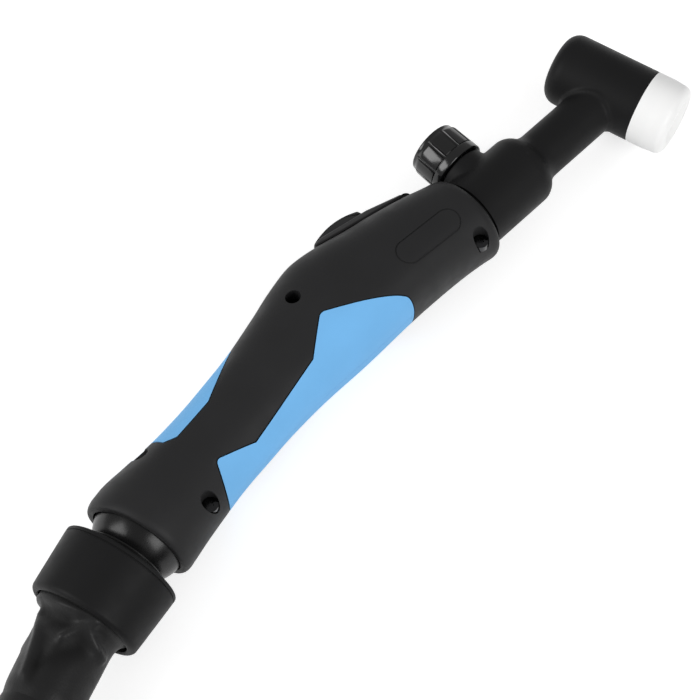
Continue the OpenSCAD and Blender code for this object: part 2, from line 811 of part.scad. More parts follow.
liner_r = 15.9;
liner_from = -7;
liner_to = 1.4;
ball_from = -8.5;
ball_to = 8.4;
ball_bore_r = 8.6;
neck2_r = 12.4;
knuckle_thread_r = 14.4;
thread_from = 12.4;
thread_to = 20.5;
tail2_r = 10.2;
tail2_to = 27.8;

// Plain ring clamped in the shells, in which the liner turns
module swivel_housing() {
    color("#3b3b3d") lie() rear_axis() difference() {
        translate([0, 0, liner_from - 0.4]) cylinder(r = housing_r, h = liner_to - liner_from + 0.4);
        translate([0, 0, -30]) cylinder(r = liner_r + run, h = 60);
    }
}

// Liner: round outside, a hollow ball seat inside
module swivel_liner() {
    color("#d9d6cc") lie() rear_axis() difference() {
        translate([0, 0, liner_from]) cylinder(r = liner_r, h = liner_to - liner_from);
        sphere(r = ball_r + run, $fn = 96);
    }
}

// Ball, neck, thread and tail in one piece
module knuckle_ball() {
    color("#161617") lie() rear_axis() difference() {
        union() {
            intersection() {
                sphere(r = ball_r, $fn = 96);
                translate([0, 0, ball_from]) cylinder(r = 30, h = ball_to - ball_from);
            }
            translate([0, 0, 5]) cylinder(r = neck2_r, h = thread_from - 4);
            translate([0, 0, thread_from]) cylinder(r = knuckle_thread_r, h = thread_to - thread_from);
            translate([0, 0, thread_to - 1]) cylinder(r = tail2_r, h = tail2_to - thread_to + 1);
        }
        translate([0, 0, -30]) cylinder(r = ball_bore_r, h = 80);
    }
}

// The same hose on the cable's side of the ball
module inner_hose_rear() {
    color("#3b3b3d") lie() rear_axis() translate([0, 0, -4]) cylinder(r = hose_r, h = tail2_to + 4);
}

// Large nut that clamps the sleeve: a shallow cone in front and a slightly tapered wall
collar_mouth = 9.1;
collar_shoulder = 11.9;
collar_corner_r = 0.9;
collar_lip_r = 2;
collar_bore_r = 15.6;
collar_front_r = 13.45;
module collar_nut() {
    shoulder_r = collar_r - collar_corner_r;
    color("#202021") lie() rear_axis() difference() {
        rotate_extrude($fn = 128) polygon([
            [11, collar_mouth + 0.4], [collar_front_r, collar_mouth],
            each arc(shoulder_r, collar_shoulder, collar_corner_r, -70, 3, 5),
            each arc(collar_rear_r - collar_lip_r, collar_end - collar_lip_r, collar_lip_r, 3, 90, 6),
            [11, collar_end]
        ]);
        cylinder(r = collar_front_r, h = 60);
        translate([0, 0, thread_from - 0.2]) cylinder(r = knuckle_thread_r + run, h = 60);
        translate([0, 0, thread_to + 0.5]) cylinder(r = collar_bore_r, h = 60);
    }
}

// Band clamp that squeezes the sleeve on the knuckle's tail
module sleeve_clamp() {
    color("#8e9093") lie() rear_axis() translate([0, 0, thread_to + 0.6]) difference() {
        cylinder(r = 13.4, h = 6);
        translate([0, 0, -1]) cylinder(r = 12.6, h = 8);
    }
}

// Flared end of the sleeve: over the tail, under the clamp and out of the collar
cuff_r = 15.4;
cuff_to = 36;
module sleeve_cuff() {
    color("#1d1d1e") lie() rear_axis() rotate_extrude($fn = 64) polygon([
        [tail2_r + run, thread_to + 0.6], [12.5, thread_to + 0.6], [12.5, thread_to + 6.8],
        [cuff_r - 0.4, 28.4], [cuff_r, 29.2], [cuff_r, collar_end + 0.2],
        [cuff_r - 0.7, collar_end + 0.8], [14, collar_end + 1.6], [13.2, collar_end + 2.4],
        [13.1, cuff_to], [13, cuff_to], [13, tail2_to + run], [tail2_r + run, tail2_to + run]
    ]);
}

// ---- Cable -------------------------------------------------------------------------------
cable_r = cable_d / 2;
// Height of the torch's middle plane over the table is collar_r; the coil lies on its ties.
tie_t = 1.2;
coil_z = cable_r + tie_t - collar_r;

// Coil: inwards on the table, up a layer in the half turn where it reverses, outwards on top,
// then off the coil and down beside it to the plug.
coil_at = [-336, -247];
coil_start_a = 132;
turn_rings = 24;
tail_turns = 0.3;
tail_out = 32;
plug_z = plug_r - collar_r;
end_straight = cable_d;
reverse_at = turns_in;
top_at = turns_in + 0.5;
tail_at = top_at + turns_out;
coil_end = tail_at + tail_turns;
function ease(k) = let (q = min(max(k, 0), 1)) q * q * (3 - 2 * q);
function coil_radius(t) =
    t <= reverse_at ? coil_r - coil_pitch * t
    : t <= top_at ? coil_r - coil_pitch * turns_in
        - coil_pitch * ((t - reverse_at) - 2 * pow(t - reverse_at, 2))
    : coil_r - coil_pitch * turns_in + coil_pitch * (t - top_at)
        + (t > tail_at ? tail_out * ease((t - tail_at) / tail_turns) : 0);
function coil_height(t) =
    coil_z + coil_pitch * ease((t - reverse_at) / 0.5)
    + (plug_z - coil_z - coil_pitch) * ease((t - tail_at - 0.08) / (tail_turns - 0.08));
function coil_point(t) = let (a = coil_start_a + 360 * t, r = coil_radius(t))
    [coil_at.x + r * cos(a), coil_at.y + r * sin(a), coil_height(t)];
function level(v) = unit([v.x, v.y, 0]);
coil_first = coil_point(0);
coil_in_dir = level(coil_point(0.01) - coil_first);
coil_last = coil_point(coil_end);
coil_out_dir = level(coil_last - coil_point(coil_end - 0.01));
plug_at = coil_last + coil_out_dir * end_straight;
coil_steps = round(coil_end * turn_rings);
coil_route = [
    coil_first - coil_in_dir * end_straight,
    coil_first - coil_in_dir * end_straight / 2,
    for (i = [0 : coil_steps]) coil_point(coil_end * i / coil_steps),
    coil_last + coil_out_dir * end_straight / 2,
    plug_at
];

// Least distance between strands that are at least a third of a turn apart on the route
apart = round(turn_rings / 3);
coil_gap = min([for (i = [0 : 1 : len(coil_route) - 1])
    for (j = [i + apart : 1 : len(coil_route) - 1]) norm(coil_route[i] - coil_route[j])])
    - cable_d;
function route_length(p) = len(p) < 2 ? 0
    : let (steps = [for (i = [1 : len(p) - 1]) norm(p[i] - p[i - 1])]) steps * [for (s = steps) 1];

// Free run from the collar to the coil, as places in the torch's own frame. It leaves the
// collar bent from the swivel's axis by the weight of the coil.
cable_head = 201.5;
head_dir = [cos(cable_head), sin(cable_head), 0];
run_first = rear_point(tail2_to + 1.7);
run_points = [
    [-285.5, -31, -0.3], [-303.9, -39, -0.9], [-322.1, -47.4, -1.8], [-340.1, -56.3, -2.9],
    [-357.8, -65.8, -4], [-375, -76.2, -4.9], [-391.8, -87.7, -5.6], [-407.8, -100.2, -6]
];

module cable_run() {
    last = coil_route[0];
    color("#1d1d1e") lie() tube([
        run_first, run_first + head_dir * cable_d / 2, run_first + head_dir * cable_d,
        each run_points, last - coil_in_dir * 6, last - coil_in_dir * 0.1
    ], cable_r, 10);
}

// Point on the rear axis, at distance w behind the ball
function rear_point(w) =
    [ball_at.x - w * cos(rear_angle), ball_at.y - w * sin(rear_angle), 0];

module cable_coil() {
    echo(least_gap_in_coil_mm = coil_gap, coil_length_mm = route_length(coil_route));
    color("#1d1d1e") lie() tube(coil_route, cable_r, 6);
}

// Three hook-and-loop straps round the coil
tie_w = 20;
tie_angles = [30, 158, 325];
tie_in = coil_r - coil_pitch * (turns_in + 0.125) - cable_r - 1;
tie_out = coil_r + cable_r + 1;
module coil_ties() {
    h = coil_pitch + cable_d + 0.6;
    color("#2a2a2c") lie() for (a = tie_angles)
        translate([coil_at.x, coil_at.y, -collar_r]) rotate([0, 0, a])
            translate([0, tie_w / 2, 0]) rotate([90, 0, 0]) linear_extrude(tie_w) difference() {
                translate([tie_in - tie_t, 0]) square([tie_out - tie_in + 2 * tie_t, h + 2 * tie_t]);
                translate([tie_in, tie_t]) square([tie_out - tie_in, h]);
            }
}

// ---- Plug --------------------------------------------------------------------------------
// Z of this frame runs out of the plug.
plug_turn = atan2(coil_out_dir.y, coil_out_dir.x);
module plug_axis() {
    translate(plug_at) rotate([0, 0, plug_turn]) rotate([0, 90, 0]) children();
}

boot_len = 34;
housing_len = 46;
core_from = boot_len + 4;
core_face = boot_len + housing_len + 14;
nut_back = boot_len + housing_len - 6;
nut_len = 22;
core_r = 14;
pin_len = 24;

// Rubber boot, tapered, over the end of the cable
module plug_boot() {
    color("#1a1a1b") lie() plug_axis() difference() {
        rotate_extrude() polygon([[0, run], [cable_r + 0.2, run], [cable_r + 1.6, 2],
            [16.6, boot_len], [0, boot_len]]);
        for (z = [6 : 6 : 24]) translate([0, 0, z]) difference() {
            cylinder(r = 30, h = 2.2);
            cylinder(r = cable_r + 0.4 + z * 0.08, h = 2.2);
        }
    }
}

// Housing with ribs that the hand holds
module plug_housing() {
    color("#1f1f20") lie() plug_axis() difference() {
        union() {
            translate([0, 0, boot_len + run]) cylinder(r = 17.2, h = housing_len - 8);
            for (i = [0 : 11]) rotate([0, 0, 30 * i + 15]) translate([16.6, 0, boot_len + 4])
                cylinder(r = 1.4, h = 26, $fn = 24);
        }
        translate([0, 0, core_from]) cylinder(r = core_r + run, h = 100);
    }
}

// Brass core with the gas and current pin
module plug_core() {
    color("#b5893a") lie() plug_axis() difference() {
        union() {
            translate([0, 0, core_from]) cylinder(r = core_r, h = core_face - core_from);
            translate([0, 0, nut_back + 7]) cylinder(r = core_r + 1.8, h = 4);
            translate([0, 0, core_face - 1]) cylinder(r = plug_pin_r, h = pin_len + 1);
        }
        translate([0, 0, core_face - 4]) difference() {
            cylinder(r = core_r - 1, h = 5);
            cylinder(r = plug_pin_r, h = 5);
        }
        translate([0, 0, core_from - 1]) cylinder(r = gas_r, h = 200);
        translate([0, 0, core_face + pin_len - 5]) difference() {
            cylinder(r = plug_pin_r + 1, h = 2.2);
            cylinder(r = plug_pin_r - 1.2, h = 2.2);
        }
        for (a = [90, 270]) rotate([0, 0, a]) translate([9.2, 0, core_face - 20])
            cylinder(r = 1.6 + seat, h = 40);
    }
}

// Insulating disc in the core's face
module plug_insulator() {
    color("#2b2b2d") lie() plug_axis() translate([0, 0, core_face - 3.95]) difference() {
        cylinder(r = core_r - 1 - run, h = 3.9);
        translate([0, 0, -1]) cylinder(r = plug_pin_r + run, h = 8);
        for (a = [90, 270]) rotate([0, 0, a]) translate([9.2, 0, -1])
            cylinder(r = 1.6 + seat, h = 8);
    }
}

// The two contact pins of the switch
module plug_contacts() {
    color("#c9b37a") lie() plug_axis() for (a = [90, 270]) rotate([0, 0, a])
        translate([9.2, 0, core_face - 18]) {
            cylinder(r = 1.6, h = 22);
            translate([0, 0, 22]) cylinder(r1 = 1.6, r2 = 1, h = 1.6);
        }
}

module plug_o_ring() {
    color("#1c1c1c") lie() plug_axis() translate([0, 0, core_face + pin_len - 3.9])
        rotate_extrude() translate([plug_pin_r - 0.3, 0]) circle(0.85, $fn = 32);
}

// Coupling nut with six finger hollows
module plug_union_nut() {
    color("#202021") lie() plug_axis() difference() {
        translate([0, 0, nut_back]) cylinder(r = plug_r, h = nut_len);
        for (i = [0 : 5]) rotate([0, 0, 60 * i]) translate([plug_r + 3, 0, nut_back + 4])
            cylinder(r = 5, h = nut_len, $fn = 48);
        translate([0, 0, nut_back - 1]) cylinder(r = core_r + run, h = 40);
        translate([0, 0, nut_back + 6.9]) cylinder(r = core_r + 1.8 + run, h = 40);
    }
}

head_insulator();
head_body();
neck_tube();
front_insulator_ring();
valve_block();
valve_gland();
valve_o_ring();
valve_stem();
valve_knob();
knob_screw();
handle_shell_left();
handle_shell_right();
belly_grip_left();
belly_grip_right();
back_grip_left();
back_grip_right();
shell_screws();
shell_inserts();
trigger_plate();
trigger_pad();
trigger_pin();
switch_carrier();
switch_body();
switch_plunger();
switch_terminals();
switch_leads();
power_nut();
hose_barb();
hose_ferrule();
inner_hose_front();
swivel_housing();
swivel_liner();
knuckle_ball();
inner_hose_rear();
collar_nut();
sleeve_clamp();
sleeve_cuff();
cable_run();
cable_coil();
coil_ties();
plug_boot();
plug_housing();
plug_core();
plug_insulator();
plug_contacts();
plug_o_ring();
plug_union_nut();
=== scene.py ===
"""Gas-cooled welding torch on its side: the frame's solids get their finishes here, and the
sleeved cable, the handle's skins, the grips, the knob and the small fittings are made anew."""
import json

import bmesh
import bpy
import numpy as np
from math import atan2, cos, degrees, pi, radians, sin, sqrt
from mathutils import Matrix, Vector


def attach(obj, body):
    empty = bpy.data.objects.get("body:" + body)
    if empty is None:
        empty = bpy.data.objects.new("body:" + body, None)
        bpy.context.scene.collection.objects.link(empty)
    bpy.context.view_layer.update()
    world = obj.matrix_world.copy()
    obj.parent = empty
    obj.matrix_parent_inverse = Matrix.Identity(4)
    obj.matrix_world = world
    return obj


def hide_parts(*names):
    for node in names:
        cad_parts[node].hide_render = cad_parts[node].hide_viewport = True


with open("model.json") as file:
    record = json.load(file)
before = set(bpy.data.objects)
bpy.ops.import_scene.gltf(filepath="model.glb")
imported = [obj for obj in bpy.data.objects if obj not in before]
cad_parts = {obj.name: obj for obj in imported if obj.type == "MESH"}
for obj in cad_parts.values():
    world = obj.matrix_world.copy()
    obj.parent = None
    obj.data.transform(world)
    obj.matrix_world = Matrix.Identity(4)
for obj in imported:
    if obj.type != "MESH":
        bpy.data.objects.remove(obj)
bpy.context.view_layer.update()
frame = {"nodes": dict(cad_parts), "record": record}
solids = frame["nodes"]

# ---- Sizes shared with the solids, in millimetres -------------------------------------------
LIE_X, LIE_Y = 119.1, 2.3
COLLAR_R = 19.3
NOZZLE_TURN = radians(-75.6)
REAR_TURN = radians(14.6)
HANDLE_FRONT, HANDLE_STRAIGHT, HANDLE_LEN, BEND_R = 67.5, 98.2, 153.4, 180.0
RIM_AT = 1.6
CABLE_R = 12.0
UPRIGHT = Matrix.Identity(4)


def put(x, y, z=0.0):
    """A place in the torch's own frame, in millimetres, as a place in the row frame."""
    return Vector(((x + LIE_X) / 1000, (y + LIE_Y) / 1000, (z + COLLAR_R) / 1000))


def linked(name, data):
    """An object in the scene that shows the given data."""
    obj = bpy.data.objects.new(name, data)
    bpy.context.scene.collection.objects.link(obj)
    return obj


def spots(name, places, **values):
    """An object of loose points, with a number for each point under each given name."""
    mesh = bpy.data.meshes.new(name)
    mesh.from_pydata(places, [], [])
    for key, numbers in values.items():
        mesh.attributes.new(key, "FLOAT", "POINT").data.foreach_set("value", numbers)
    return linked(name, mesh)


# ---- Camera ---------------------------------------------------------------------------------
def hang_camera():
    """The camera looks down on the torch from behind and below its belly side."""
    back = Vector((-0.30917, -0.31450, 0.89750)).normalized()
    right = Vector((0.7131, -0.7010, 0.0)).normalized()
    up = back.cross(right)
    lens = bpy.data.cameras.new("camera")
    lens.lens, lens.sensor_width, lens.clip_start = 102.86, 36, 0.01
    camera = linked("camera", lens)
    camera.matrix_world = Matrix((right, up, back)).transposed().to_4x4()
    camera.location = put(-323.242, -203.955, 561.282)
    bpy.context.scene.camera = camera


hang_camera()


# ---- Mesh helpers: shapes are drawn in millimetres in the torch's own frame ------------------
def solid(name, verts, faces):
    """A mesh object with its faces turned outwards."""
    mesh = bpy.data.meshes.new(name)
    mesh.from_pydata([tuple(v) for v in verts], [], faces)
    obj = linked(name, mesh)
    work = bmesh.new()
    work.from_mesh(mesh)
    bmesh.ops.recalc_face_normals(work, faces=work.faces)
    work.to_mesh(mesh)
    work.free()
    return obj


def bands(rows, n, closed=False):
    """Faces between rows of n points each; closed also joins the last row to the first."""
    return [(j * n + i, j * n + (i + 1) % n, (j + 1) % rows * n + (i + 1) % n,
             (j + 1) % rows * n + i) for j in range(rows if closed else rows - 1)
            for i in range(n)]


def rings_solid(name, rings):
    """A closed solid through rings with the same number of points."""
    n = len(rings[0])
    faces = bands(len(rings), n)
    faces.append(tuple(range(n))[::-1])
    faces.append(tuple((len(rings) - 1) * n + i for i in range(n)))
    return solid(name, [p for r in rings for p in r], faces)


def prism(name, outline, low, high):
    n = len(outline)
    verts = [(x, y, low) for x, y in outline] + [(x, y, high) for x, y in outline]
    faces = [tuple(range(n))[::-1], tuple(range(n, 2 * n))]
    faces += [(i, (i + 1) % n, n + (i + 1) % n, n + i) for i in range(n)]
    return solid(name, verts, faces)


def rod(name, x, y, r, low, high, sides=64):
    return prism(name, [(x + r * cos(2 * pi * k / sides), y + r * sin(2 * pi * k / sides))
                        for k in range(sides)], low, high)


def turned(name, profile, place, sides=128):
    """A solid turned from (radius, height) points; the first and last lie on the axis."""
    verts, n = [], len(profile) - 2
    for r, h in profile[1:-1]:
        verts += [place @ Vector((r * cos(2 * pi * k / sides), r * sin(2 * pi * k / sides), h))
                  for k in range(sides)]
    verts += [place @ Vector((0, 0, profile[0][1])), place @ Vector((0, 0, profile[-1][1]))]
    faces = bands(n, sides)
    for k in range(sides):
        faces.append((n * sides, (k + 1) % sides, k))
        faces.append((n * sides + 1, (n - 1) * sides + k, (n - 1) * sides + (k + 1) % sides))
    return solid(name, verts, faces)


def turned_ring(name, profile, place, sides=128):
    """A ring turned from a closed outline of (radius, height) points."""
    verts = []
    for k in range(sides):
        a = 2 * pi * k / sides
        verts += [place @ Vector((r * cos(a), r * sin(a), h)) for r, h in profile]
    return solid(name, verts, bands(sides, len(profile), closed=True))


def drum(name, r, low, high, place=UPRIGHT, sides=128):
    """A plain cylinder round the place's Z."""
    return turned(name, [(0, low), (r, low), (r, high), (0, high)], place, sides)


def arc(x, y, r, start, stop, steps):
    """Points on an arc, angles in degrees."""
    return [(x + r * cos(radians(start + (stop - start) * i / steps)),
             y + r * sin(radians(start + (stop - start) * i / steps))) for i in range(steps + 1)]


def baked(obj):
    """Puts what the modifiers make into the object's mesh."""
    view = bpy.context.evaluated_depsgraph_get()
    mesh = bpy.data.meshes.new_from_object(obj.evaluated_get(view))
    obj.modifiers.clear()
    obj.data = mesh
    return obj


def cut(obj, tool, way="DIFFERENCE", keep=False):
    """Cuts obj with a tool, joins it, or keeps what both share."""
    mod = obj.modifiers.new("cut", "BOOLEAN")
    mod.operation, mod.solver, mod.object = way, "MANIFOLD", tool
    baked(obj)
    if not keep:
        bpy.data.objects.remove(tool)
    return obj


def eased(obj, width, angle=35, rows=2):
    """Breaks the sharp edges."""
    mod = obj.modifiers.new("edges", "BEVEL")
    mod.width, mod.segments, mod.limit_method, mod.angle_limit = width, rows, "ANGLE", radians(angle)
    return baked(obj)


def settle(obj, body, slot, *nodes, sharp=35):
    """Brings a finished piece to metres in the row frame, smooth but for its sharp edges."""
    obj.data.transform(Matrix.Scale(0.001, 4) @ Matrix.Translation((LIE_X, LIE_Y, COLLAR_R)))
    obj.data.polygons.foreach_set("use_smooth", [True] * len(obj.data.polygons))
    obj.data.set_sharp_from_angle(angle=radians(sharp))
    dress(obj, slot)
    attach(obj, body)
    if nodes:
        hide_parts(*nodes)
    return obj


def dress(obj, slot):
    obj.data.materials.clear()
    obj.data.materials.append(finishes[slot])


# ---- Node trees for what repeats -------------------------------------------------------------
def node(tree, kind, choices=None, **inputs):
    """A node: choices are its own settings, and inputs are values or other nodes' sockets."""
    made = tree.nodes.new(kind)
    for key, value in (choices or {}).items():
        setattr(made, key, value)
    for key, value in inputs.items():
        socket = made.inputs[key.replace("_", " ")]
        if isinstance(value, bpy.types.NodeSocket):
            tree.links.new(value, socket)
        else:
            socket.default_value = value
    return made.outputs[0]


def new_tree(name, **sizes):
    """A tree that takes a shape, named sizes and a finish."""
    tree = bpy.data.node_groups.new(name, "GeometryNodeTree")
    tree.interface.new_socket("Shape", in_out="INPUT", socket_type="NodeSocketGeometry")
    for label, value in sizes.items():
        kind = "NodeSocketInt" if isinstance(value, int) else "NodeSocketFloat"
        made = tree.interface.new_socket(label, in_out="INPUT", socket_type=kind)
        made.default_value = value
    tree.interface.new_socket("finish", in_out="INPUT", socket_type="NodeSocketMaterial")
    tree.interface.new_socket("Shape", in_out="OUTPUT", socket_type="NodeSocketGeometry")
    return tree, tree.nodes.new("NodeGroupInput").outputs


def close_tree(tree, given, shape):
    """Ends a tree: loose copies become one mesh, and it gets its finish."""
    real = node(tree, "GeometryNodeRealizeInstances", Geometry=shape)
    coated = node(tree, "GeometryNodeSetMaterial", Geometry=real, Material=given["finish"])
    tree.links.new(coated, tree.nodes.new("NodeGroupOutput").inputs["Shape"])
    return tree


def node_pair(tree, way, a, b):
    """Two numbers brought together in the given way."""
    made = tree.nodes.new("ShaderNodeMath")
    made.operation = way
    for socket, value in zip(made.inputs, (a, b)):
        if isinstance(value, bpy.types.NodeSocket):
            tree.links.new(value, socket)
        else:
            socket.default_value = value
    return made.outputs[0]


def triple(tree, x=0.0, y=0.0, z=0.0):
    return node(tree, "ShaderNodeCombineXYZ", X=x, Y=y, Z=z)


def brought(tree, shape, **moves):
    return node(tree, "GeometryNodeTransform", Geometry=shape, **moves)


def both(tree, way, first, *others):
    """Solids joined, or the others cut out of the first."""
    made = tree.nodes.new("GeometryNodeMeshBoolean")
    made.operation, made.solver = way, "MANIFOLD"
    if way == "DIFFERENCE":
        tree.links.new(first, made.inputs["Mesh 1"])
    else:
        others = (first,) + others
    for other in others:
        tree.links.new(other, made.inputs["Mesh 2"])
    return made.outputs["Mesh"]


def ring_tree(name, way):
    """Rods set in a ring round Z, cut out of the given shape or joined to it."""
    tree, given = new_tree(name, count=10, reach=10.0, depth=1.0, start=0.0, length=10.0,
                           turn=0.0)
    ring = node(tree, "GeometryNodeMeshCircle", Vertices=given["count"], Radius=given["reach"])
    ring = brought(tree, ring, Rotation=triple(tree, z=given["turn"]))
    tool = node(tree, "GeometryNodeMeshCylinder", Vertices=32, Radius=given["depth"],
                Depth=given["length"])
    half = node_pair(tree, "MULTIPLY", given["length"], 0.5)
    tool = brought(tree, tool, Translation=triple(tree, z=node_pair(tree, "ADD", given["start"], half)))
    spot = node(tree, "GeometryNodeInputPosition")
    facing = node(tree, "FunctionNodeAlignRotationToVector", {"axis": "X"}, Vector=spot)
    tools = node(tree, "GeometryNodeInstanceOnPoints", Points=ring, Instance=tool, Rotation=facing)
    tools = node(tree, "GeometryNodeRealizeInstances", Geometry=tools)
    return close_tree(tree, given, both(tree, way, given["Shape"], tools))


def screw_tree():
    """A domed screw with a six-lobed recess on each point of the given shape."""
    tree, given = new_tree("cap_screws", head_radius=2.5, head_height=1.6, dome_radius=3.4,
                           shank_radius=1.45, shank_length=7.0, lobe_radius=0.34,
                           lobe_reach=0.78, recess_depth=1.0)
    up = node_pair(tree, "MULTIPLY", given["head_height"], 0.5)
    head = node(tree, "GeometryNodeMeshCylinder", Vertices=48, Radius=given["head_radius"],
                Depth=given["head_height"])
    head = brought(tree, head, Translation=triple(tree, z=up))
    dome = node(tree, "GeometryNodeMeshUVSphere", Segments=48, Rings=32,
                Radius=given["dome_radius"])
    drop = node_pair(tree, "SUBTRACT", given["head_height"], given["dome_radius"])
    head = both(tree, "INTERSECT", head, brought(tree, dome, Translation=triple(tree, z=drop)))
    lobes = node(tree, "GeometryNodeMeshCircle", Vertices=6, Radius=given["lobe_reach"])
    lobe = node(tree, "GeometryNodeMeshCylinder", Vertices=16, Radius=given["lobe_radius"],
                Depth=given["recess_depth"])
    lobes = node(tree, "GeometryNodeInstanceOnPoints", Points=lobes, Instance=lobe)
    lobes = node(tree, "GeometryNodeRealizeInstances", Geometry=lobes)
    core = node(tree, "GeometryNodeMeshCylinder", Vertices=32, Depth=given["recess_depth"],
                Radius=given["lobe_reach"])
    sink = node_pair(tree, "SUBTRACT", given["head_height"],
                     node_pair(tree, "MULTIPLY", given["recess_depth"], 0.3))
    sink = triple(tree, z=sink)
    head = both(tree, "DIFFERENCE", head, brought(tree, lobes, Translation=sink),
                brought(tree, core, Translation=sink))
    shank = node(tree, "GeometryNodeMeshCylinder", Vertices=32, Radius=given["shank_radius"],
                 Depth=given["shank_length"])
    low = node_pair(tree, "MULTIPLY", given["shank_length"], -0.5)
    low = node_pair(tree, "ADD", low, 0.2)
    screw = both(tree, "UNION", head, brought(tree, shank, Translation=triple(tree, z=low)))
    screws = node(tree, "GeometryNodeInstanceOnPoints", Points=given["Shape"], Instance=screw)
    return close_tree(tree, given, screws)


def strap_tree():
    """A strap stood on each point of the given shape, turned by the point's own turn, with its
    loose end laid over it."""
    tree, given = new_tree("coil_straps", span=80.0, height=50.0, corner=12.0, width=20.0,
                           thickness=1.2, end_from=0.08, end_to=0.3)
    layers = []
    for lap in (0.0, 1.0):
        grow = node_pair(tree, "MULTIPLY", given["thickness"], 2 * lap)
        path = node(tree, "GeometryNodeCurvePrimitiveQuadrilateral",
                    Width=node_pair(tree, "ADD", given["span"], grow),
                    Height=node_pair(tree, "ADD", given["height"], grow))
        path = node(tree, "GeometryNodeFilletCurve", {"mode": "POLY"}, Curve=path, Count=8,
                    Radius=node_pair(tree, "ADD", given["corner"], lap))
        if lap:
            path = node(tree, "GeometryNodeTrimCurve", Curve=path, Start=given["end_from"],
                        End=given["end_to"])
        band = node(tree, "GeometryNodeCurvePrimitiveQuadrilateral", Width=given["thickness"],
                    Height=given["width"])
        layers.append(node(tree, "GeometryNodeCurveToMesh", Curve=path, Profile_Curve=band,
                           Fill_Caps=True))
    joined = tree.nodes.new("GeometryNodeJoinGeometry")
    for layer in layers:
        tree.links.new(layer, joined.inputs["Geometry"])
    upright = brought(tree, joined.outputs[0], Rotation=(pi / 2, 0, 0))
    turn = node(tree, "GeometryNodeInputNamedAttribute", {"data_type": "FLOAT"}, Name="turn")
    straps = node(tree, "GeometryNodeInstanceOnPoints", Points=given["Shape"], Instance=upright,
                  Rotation=triple(tree, z=turn))
    return close_tree(tree, given, straps)


def grown(obj, tree, finish, **sizes):
    """Runs a tree on a piece with the given sizes and keeps the plain mesh."""
    made = obj.modifiers.new(tree.name, "NODES")
    made.node_group = tree
    for item in tree.interface.items_tree:
        if item.in_out == "INPUT" and item.name in sizes:
            made[item.identifier] = sizes[item.name]
        if item.in_out == "INPUT" and item.name == "finish":
            made[item.identifier] = finishes[finish]
    return baked(obj)


# ---- Finishes -------------------------------------------------------------------------------
class Finish:
    """A shader tree that is filled in one property at a time."""

    def __init__(self, name, metal=0.0, sheen=0.0, specular=0.5):
        self.mat = bpy.data.materials.new(name)
        self.mat.use_nodes = True
        self.tree = self.mat.node_tree
        self.shader = self.tree.nodes["Principled BSDF"]
        for socket, value in (("Metallic", metal), ("Sheen Weight", sheen),
                              ("Specular IOR Level", specular)):
            self.shader.inputs[socket].default_value = value
        self.place = self.tree.nodes.new("ShaderNodeTexCoord").outputs["Object"]

    def stretched(self, scale):
        """The place on the piece, drawn out along one way as brushing or moulding flow is."""
        return node(self.tree, "ShaderNodeMapping", Scale=scale, Vector=self.place)

    def noise(self, scale, detail=3.0, place=None):
        return node(self.tree, "ShaderNodeTexNoise", Scale=scale, Detail=detail,
                    Vector=place or self.place)

    def pebbles(self, scale):
        """Rounded grains packed side by side, as on spark-eroded mouldings."""
        return node(self.tree, "ShaderNodeTexVoronoi", Scale=scale, Vector=self.place)

    def between(self, value, low, high, start=0.0, stop=1.0):
        return node(self.tree, "ShaderNodeMapRange", Value=value, From_Min=start, From_Max=stop,
                    To_Min=low, To_Max=high)

    def times(self, a, b):
        return node_pair(self.tree, "MULTIPLY", a, b)

    def colour(self, tone, strength):
        """The tone, made lighter and darker over the surface by strength."""
        shade = node(self.tree, "ShaderNodeVectorMath", {"operation": "SCALE"}, Vector=tone,
                     Scale=strength)
        self.tree.links.new(shade, self.shader.inputs["Base Color"])

    def roughness(self, value):
        self.tree.links.new(value, self.shader.inputs["Roughness"])

    def relief(self, *layers):
        """Bumps from (height, depth in millimetres) layers, laid over each other."""
        below = {}
        for height, depth in layers:
            below["Normal"] = node(self.tree, "ShaderNodeBump", Strength=1, Distance=depth / 1000,
                                   Height=height, **below)
        self.tree.links.new(below["Normal"], self.shader.inputs["Normal"])

    def edge_wear_and_highlight(self, gain):
        """More where an edge stands out: lighter corners, partly rubbed wear and partly painted
        highlight.
        """
        shape = self.tree.nodes.new("ShaderNodeNewGeometry")
        return self.between(shape.outputs["Pointiness"], 1.0, gain, 0.53, 0.62)


def moulded(name, tone, rough, specular=0.25, grain=0.012, edge=1.0):
    """Matt moulded plastic: a spark-eroded grain, faint flow marks and edges lighter where they stand
    out, partly rubbed wear and partly painted highlight.
    """
    f = Finish(name, specular=specular)
    broad = f.noise(45, 4)
    shade = f.between(broad, 0.92, 1.08, 0.3, 0.7)
    # Edges that stand out are lightened: partly wear, partly painted highlight.
    if edge > 1:
        shade = f.times(shade, f.edge_wear_and_highlight(edge))
    f.colour(tone, shade)
    f.roughness(f.between(f.noise(160, 5), rough - 0.06, rough + 0.06, 0.3, 0.7))
    f.relief((f.pebbles(2600), grain), (f.noise(5200, 2), grain * 0.6), (broad, 0.06))
    return f.mat


def glossy(name, tone, rough, specular=0.5):
    """Polished plastic with fine handling scratches."""
    f = Finish(name, specular=specular)
    f.colour(tone, f.between(f.noise(80), 0.95, 1.05, 0.3, 0.7))
    scratch = f.noise(900, 4, f.stretched((1, 14, 3)))
    f.roughness(f.between(scratch, rough - 0.03, rough + 0.07, 0.35, 0.75))
    f.relief((f.noise(420, 2), 0.006), (scratch, 0.002))
    return f.mat


def rubber(name, tone, rough, specular=0.2, mottle=0.05):
    """Soft touch rubber: an even tone, a velvety edge and tiny pits."""
    f = Finish(name, sheen=0.12, specular=specular)
    f.shader.inputs["Sheen Roughness"].default_value = 0.4
    f.colour(tone, f.between(f.noise(55, 5), 1 - mottle, 1 + mottle, 0.3, 0.7))
    f.roughness(f.between(f.noise(220, 4), rough - 0.07, rough + 0.05, 0.3, 0.7))
    f.relief((f.pebbles(3400), 0.01), (f.noise(1500, 3), 0.008))
    return f.mat


